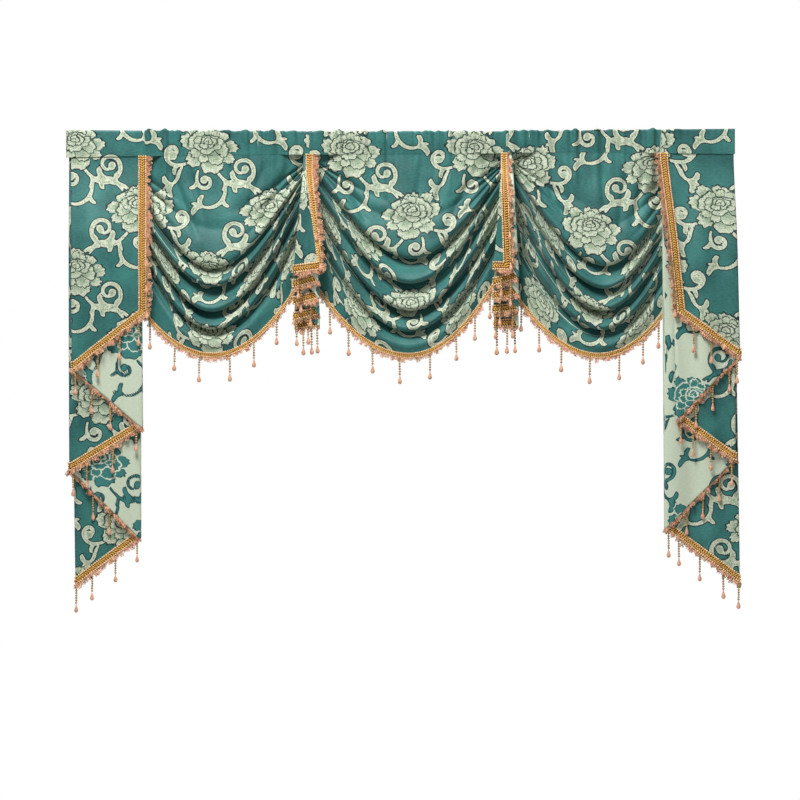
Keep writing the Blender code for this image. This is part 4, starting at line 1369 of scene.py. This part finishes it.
# Rails down the short front edge, round the corner and along the hem.
def makeCascadeBraid(cascade, seed):
    kind = cascade["kind"]
    width = braids[kind]["width"]
    narrowing = cascade.get("narrowing", 1.0)
    hem0 = float(hemZ(cascade, 0.0))
    top = -float(seamDepth(cascade["rows"][0][0])) - 0.001
    innerQ = float(stripShare(cascade, width * narrowing, hem0))
    innerLow = float(hemZ(cascade, innerQ)) + width
    share = np.linspace(0, 1, max(8, int((top - hem0) / cloth["step"])))[:-1]
    zLow, zHigh = mix(top, hem0, share), mix(top, innerLow, share)
    shown = mix(1.0, narrowing, zLow / hem0)
    q = cascadeSteps(cascade)
    lowQ = np.concatenate([np.zeros(len(share)), q])
    lowZ = np.concatenate([zLow, hemZ(cascade, q)])
    highQ = np.concatenate([stripShare(cascade, width * shown, zHigh), np.maximum(q, innerQ)])
    highZ = np.concatenate([zHigh, hemZ(cascade, np.maximum(q, innerQ)) + width])
    low, lowOut = cascadePoints(cascade, lowQ, lowZ)
    high, highOut = cascadePoints(cascade, highQ, highZ)
    edge = placesOf(-zLow, cascade["edgeDrops"])
    wanted = [2 * layer + s for layer, shares in enumerate(cascade["drops"]) for s in shares]
    along = [len(share) + place for place in placesOf(q, wanted)]
    # a jabot's returns carry no fringe that shows
    fringed = ((lowQ + 1) // 2 % 2 == 0) | (kind == "tail")
    return makeBraid(kind, cascade["name"], low, high, lowOut, highOut, [*edge, *along], seed, fringed)


def makeSwag(swag, seed):
    grid, u, v, marks = swagCloth(swag)
    at = swag["patternAt"]
    name = "swag" + swag["name"].capitalize()
    finishes = (faceCloth, backCloth)
    piece = makeSheet(name + "Cloth", grid, u + at[0], at[1] - v, cloth["thickness"], finishes, field, 2)
    dress(piece, "swag_" + swag["name"])
    # the braid's rails: the hem, and a line one braid's width above it
    zone = grid[marks[-2]:]
    share = 1 - braids["swag"]["width"] / swagCut["braidZone"]
    place = share * (len(zone) - 1)
    high = mix(zone[int(place)], zone[int(place) + 1], place - int(place))
    low = zone[-1]
    normals = gridNormals(grid)
    lowOut, highOut = normals[-1], normals[marks[-2] + int(place)]
    dropAt = placesOf(low[:, 0], swag["drops"])
    trims = makeBraid("swag", swag["name"], low, high, lowOut, highOut, dropAt, seed)


makeHeading()
print("heading made")
for k, swag in enumerate(swags):
    makeSwag(swag, 100 * k)
    print("swag made:", swag["name"])
for k, cascade in enumerate(cascades):
    piece = makeCascade(cascade)
    trims = makeCascadeBraid(cascade, 1000 + 100 * k)
    print(cascade["kind"], "made:", cascade["name"])
for template in (plaitLeft, plaitRight, edgeStitch, loopClump):
    bpy.data.objects.remove(template)

# Floor, light and camera

studio = {
    "floorZ": -2.45, "floorSize": 6.0, "floorColour": (226, 226, 224),
    "cameraDistance": 9.0, "viewWidth": 2.392, "viewMiddle": (-0.0015, -0.8043), "sensor": 36.0,
    "behind": 1.0, "around": 0.17,
    # place, size, watts
    "lamps": (((-1.0, -2.5, 3.2), 1.6, 310), ((2.2, -3.8, 0.8), 2.6, 24), ((0.9, 3.4, 1.8), 2.4, 120)),
    "aim": (0.0, 0.0, -0.55),
}


def makeStudio():
    half, z = studio["floorSize"] / 2, studio["floorZ"]
    mesh = bpy.data.meshes.new("studioFloor")
    corners = [(-half, -half, z), (half, -half, z), (half, half, z), (-half, half, z)]
    mesh.from_pydata(corners, [], [(0, 1, 2, 3)])
    floor = addObject("studioFloor", mesh)
    finish, shader, _ = newFinish("pale floor", 0.9)
    shader.inputs["Base Color"].default_value = tint(*studio["floorColour"])
    mesh.materials.append(finish)
    for k, (place, size, watts) in enumerate(studio["lamps"]):
        lamp = bpy.data.lights.new(f"softBox{k}", "AREA")
        lamp.shape = "SQUARE"
        lamp.size = size
        lamp.energy = watts
        obj = bpy.data.objects.new(f"softBox{k}", lamp)
        bpy.context.scene.collection.objects.link(obj)
        obj.location = place
        obj.rotation_euler = (Vector(studio["aim"]) - Vector(place)).to_track_quat("-Z", "Y").to_euler()
    world = bpy.data.worlds.new("studio")
    world.use_nodes = True
    tree = world.node_tree
    # bright straight behind the valance as the camera sees it, and dim all round
    start = Wire(tree)
    y = start.node("ShaderNodeSeparateXYZ", {}, {0: start.node("ShaderNodeTexCoord")}, 1)
    level = studio["behind"] + (studio["around"] - studio["behind"]) * y.below(0.965, 0.012)
    background = tree.nodes["Background"]
    background.inputs["Color"].default_value = (1, 1, 1, 1)
    level.into(background.inputs["Strength"])
    bpy.context.scene.world = world
    bpy.context.scene.view_settings.view_transform = "Standard"
    camera = bpy.data.cameras.new("camera")
    camera.sensor_width = studio["sensor"]
    camera.lens = studio["sensor"] * studio["cameraDistance"] / studio["viewWidth"]
    camera.clip_end = 60
    obj = bpy.data.objects.new("camera", camera)
    bpy.context.scene.collection.objects.link(obj)
    obj.location = (studio["viewMiddle"][0], -studio["cameraDistance"], studio["viewMiddle"][1])
    obj.rotation_euler = (math.pi / 2, 0, 0)
    bpy.context.scene.camera = obj


makeStudio()
print("studio ready")
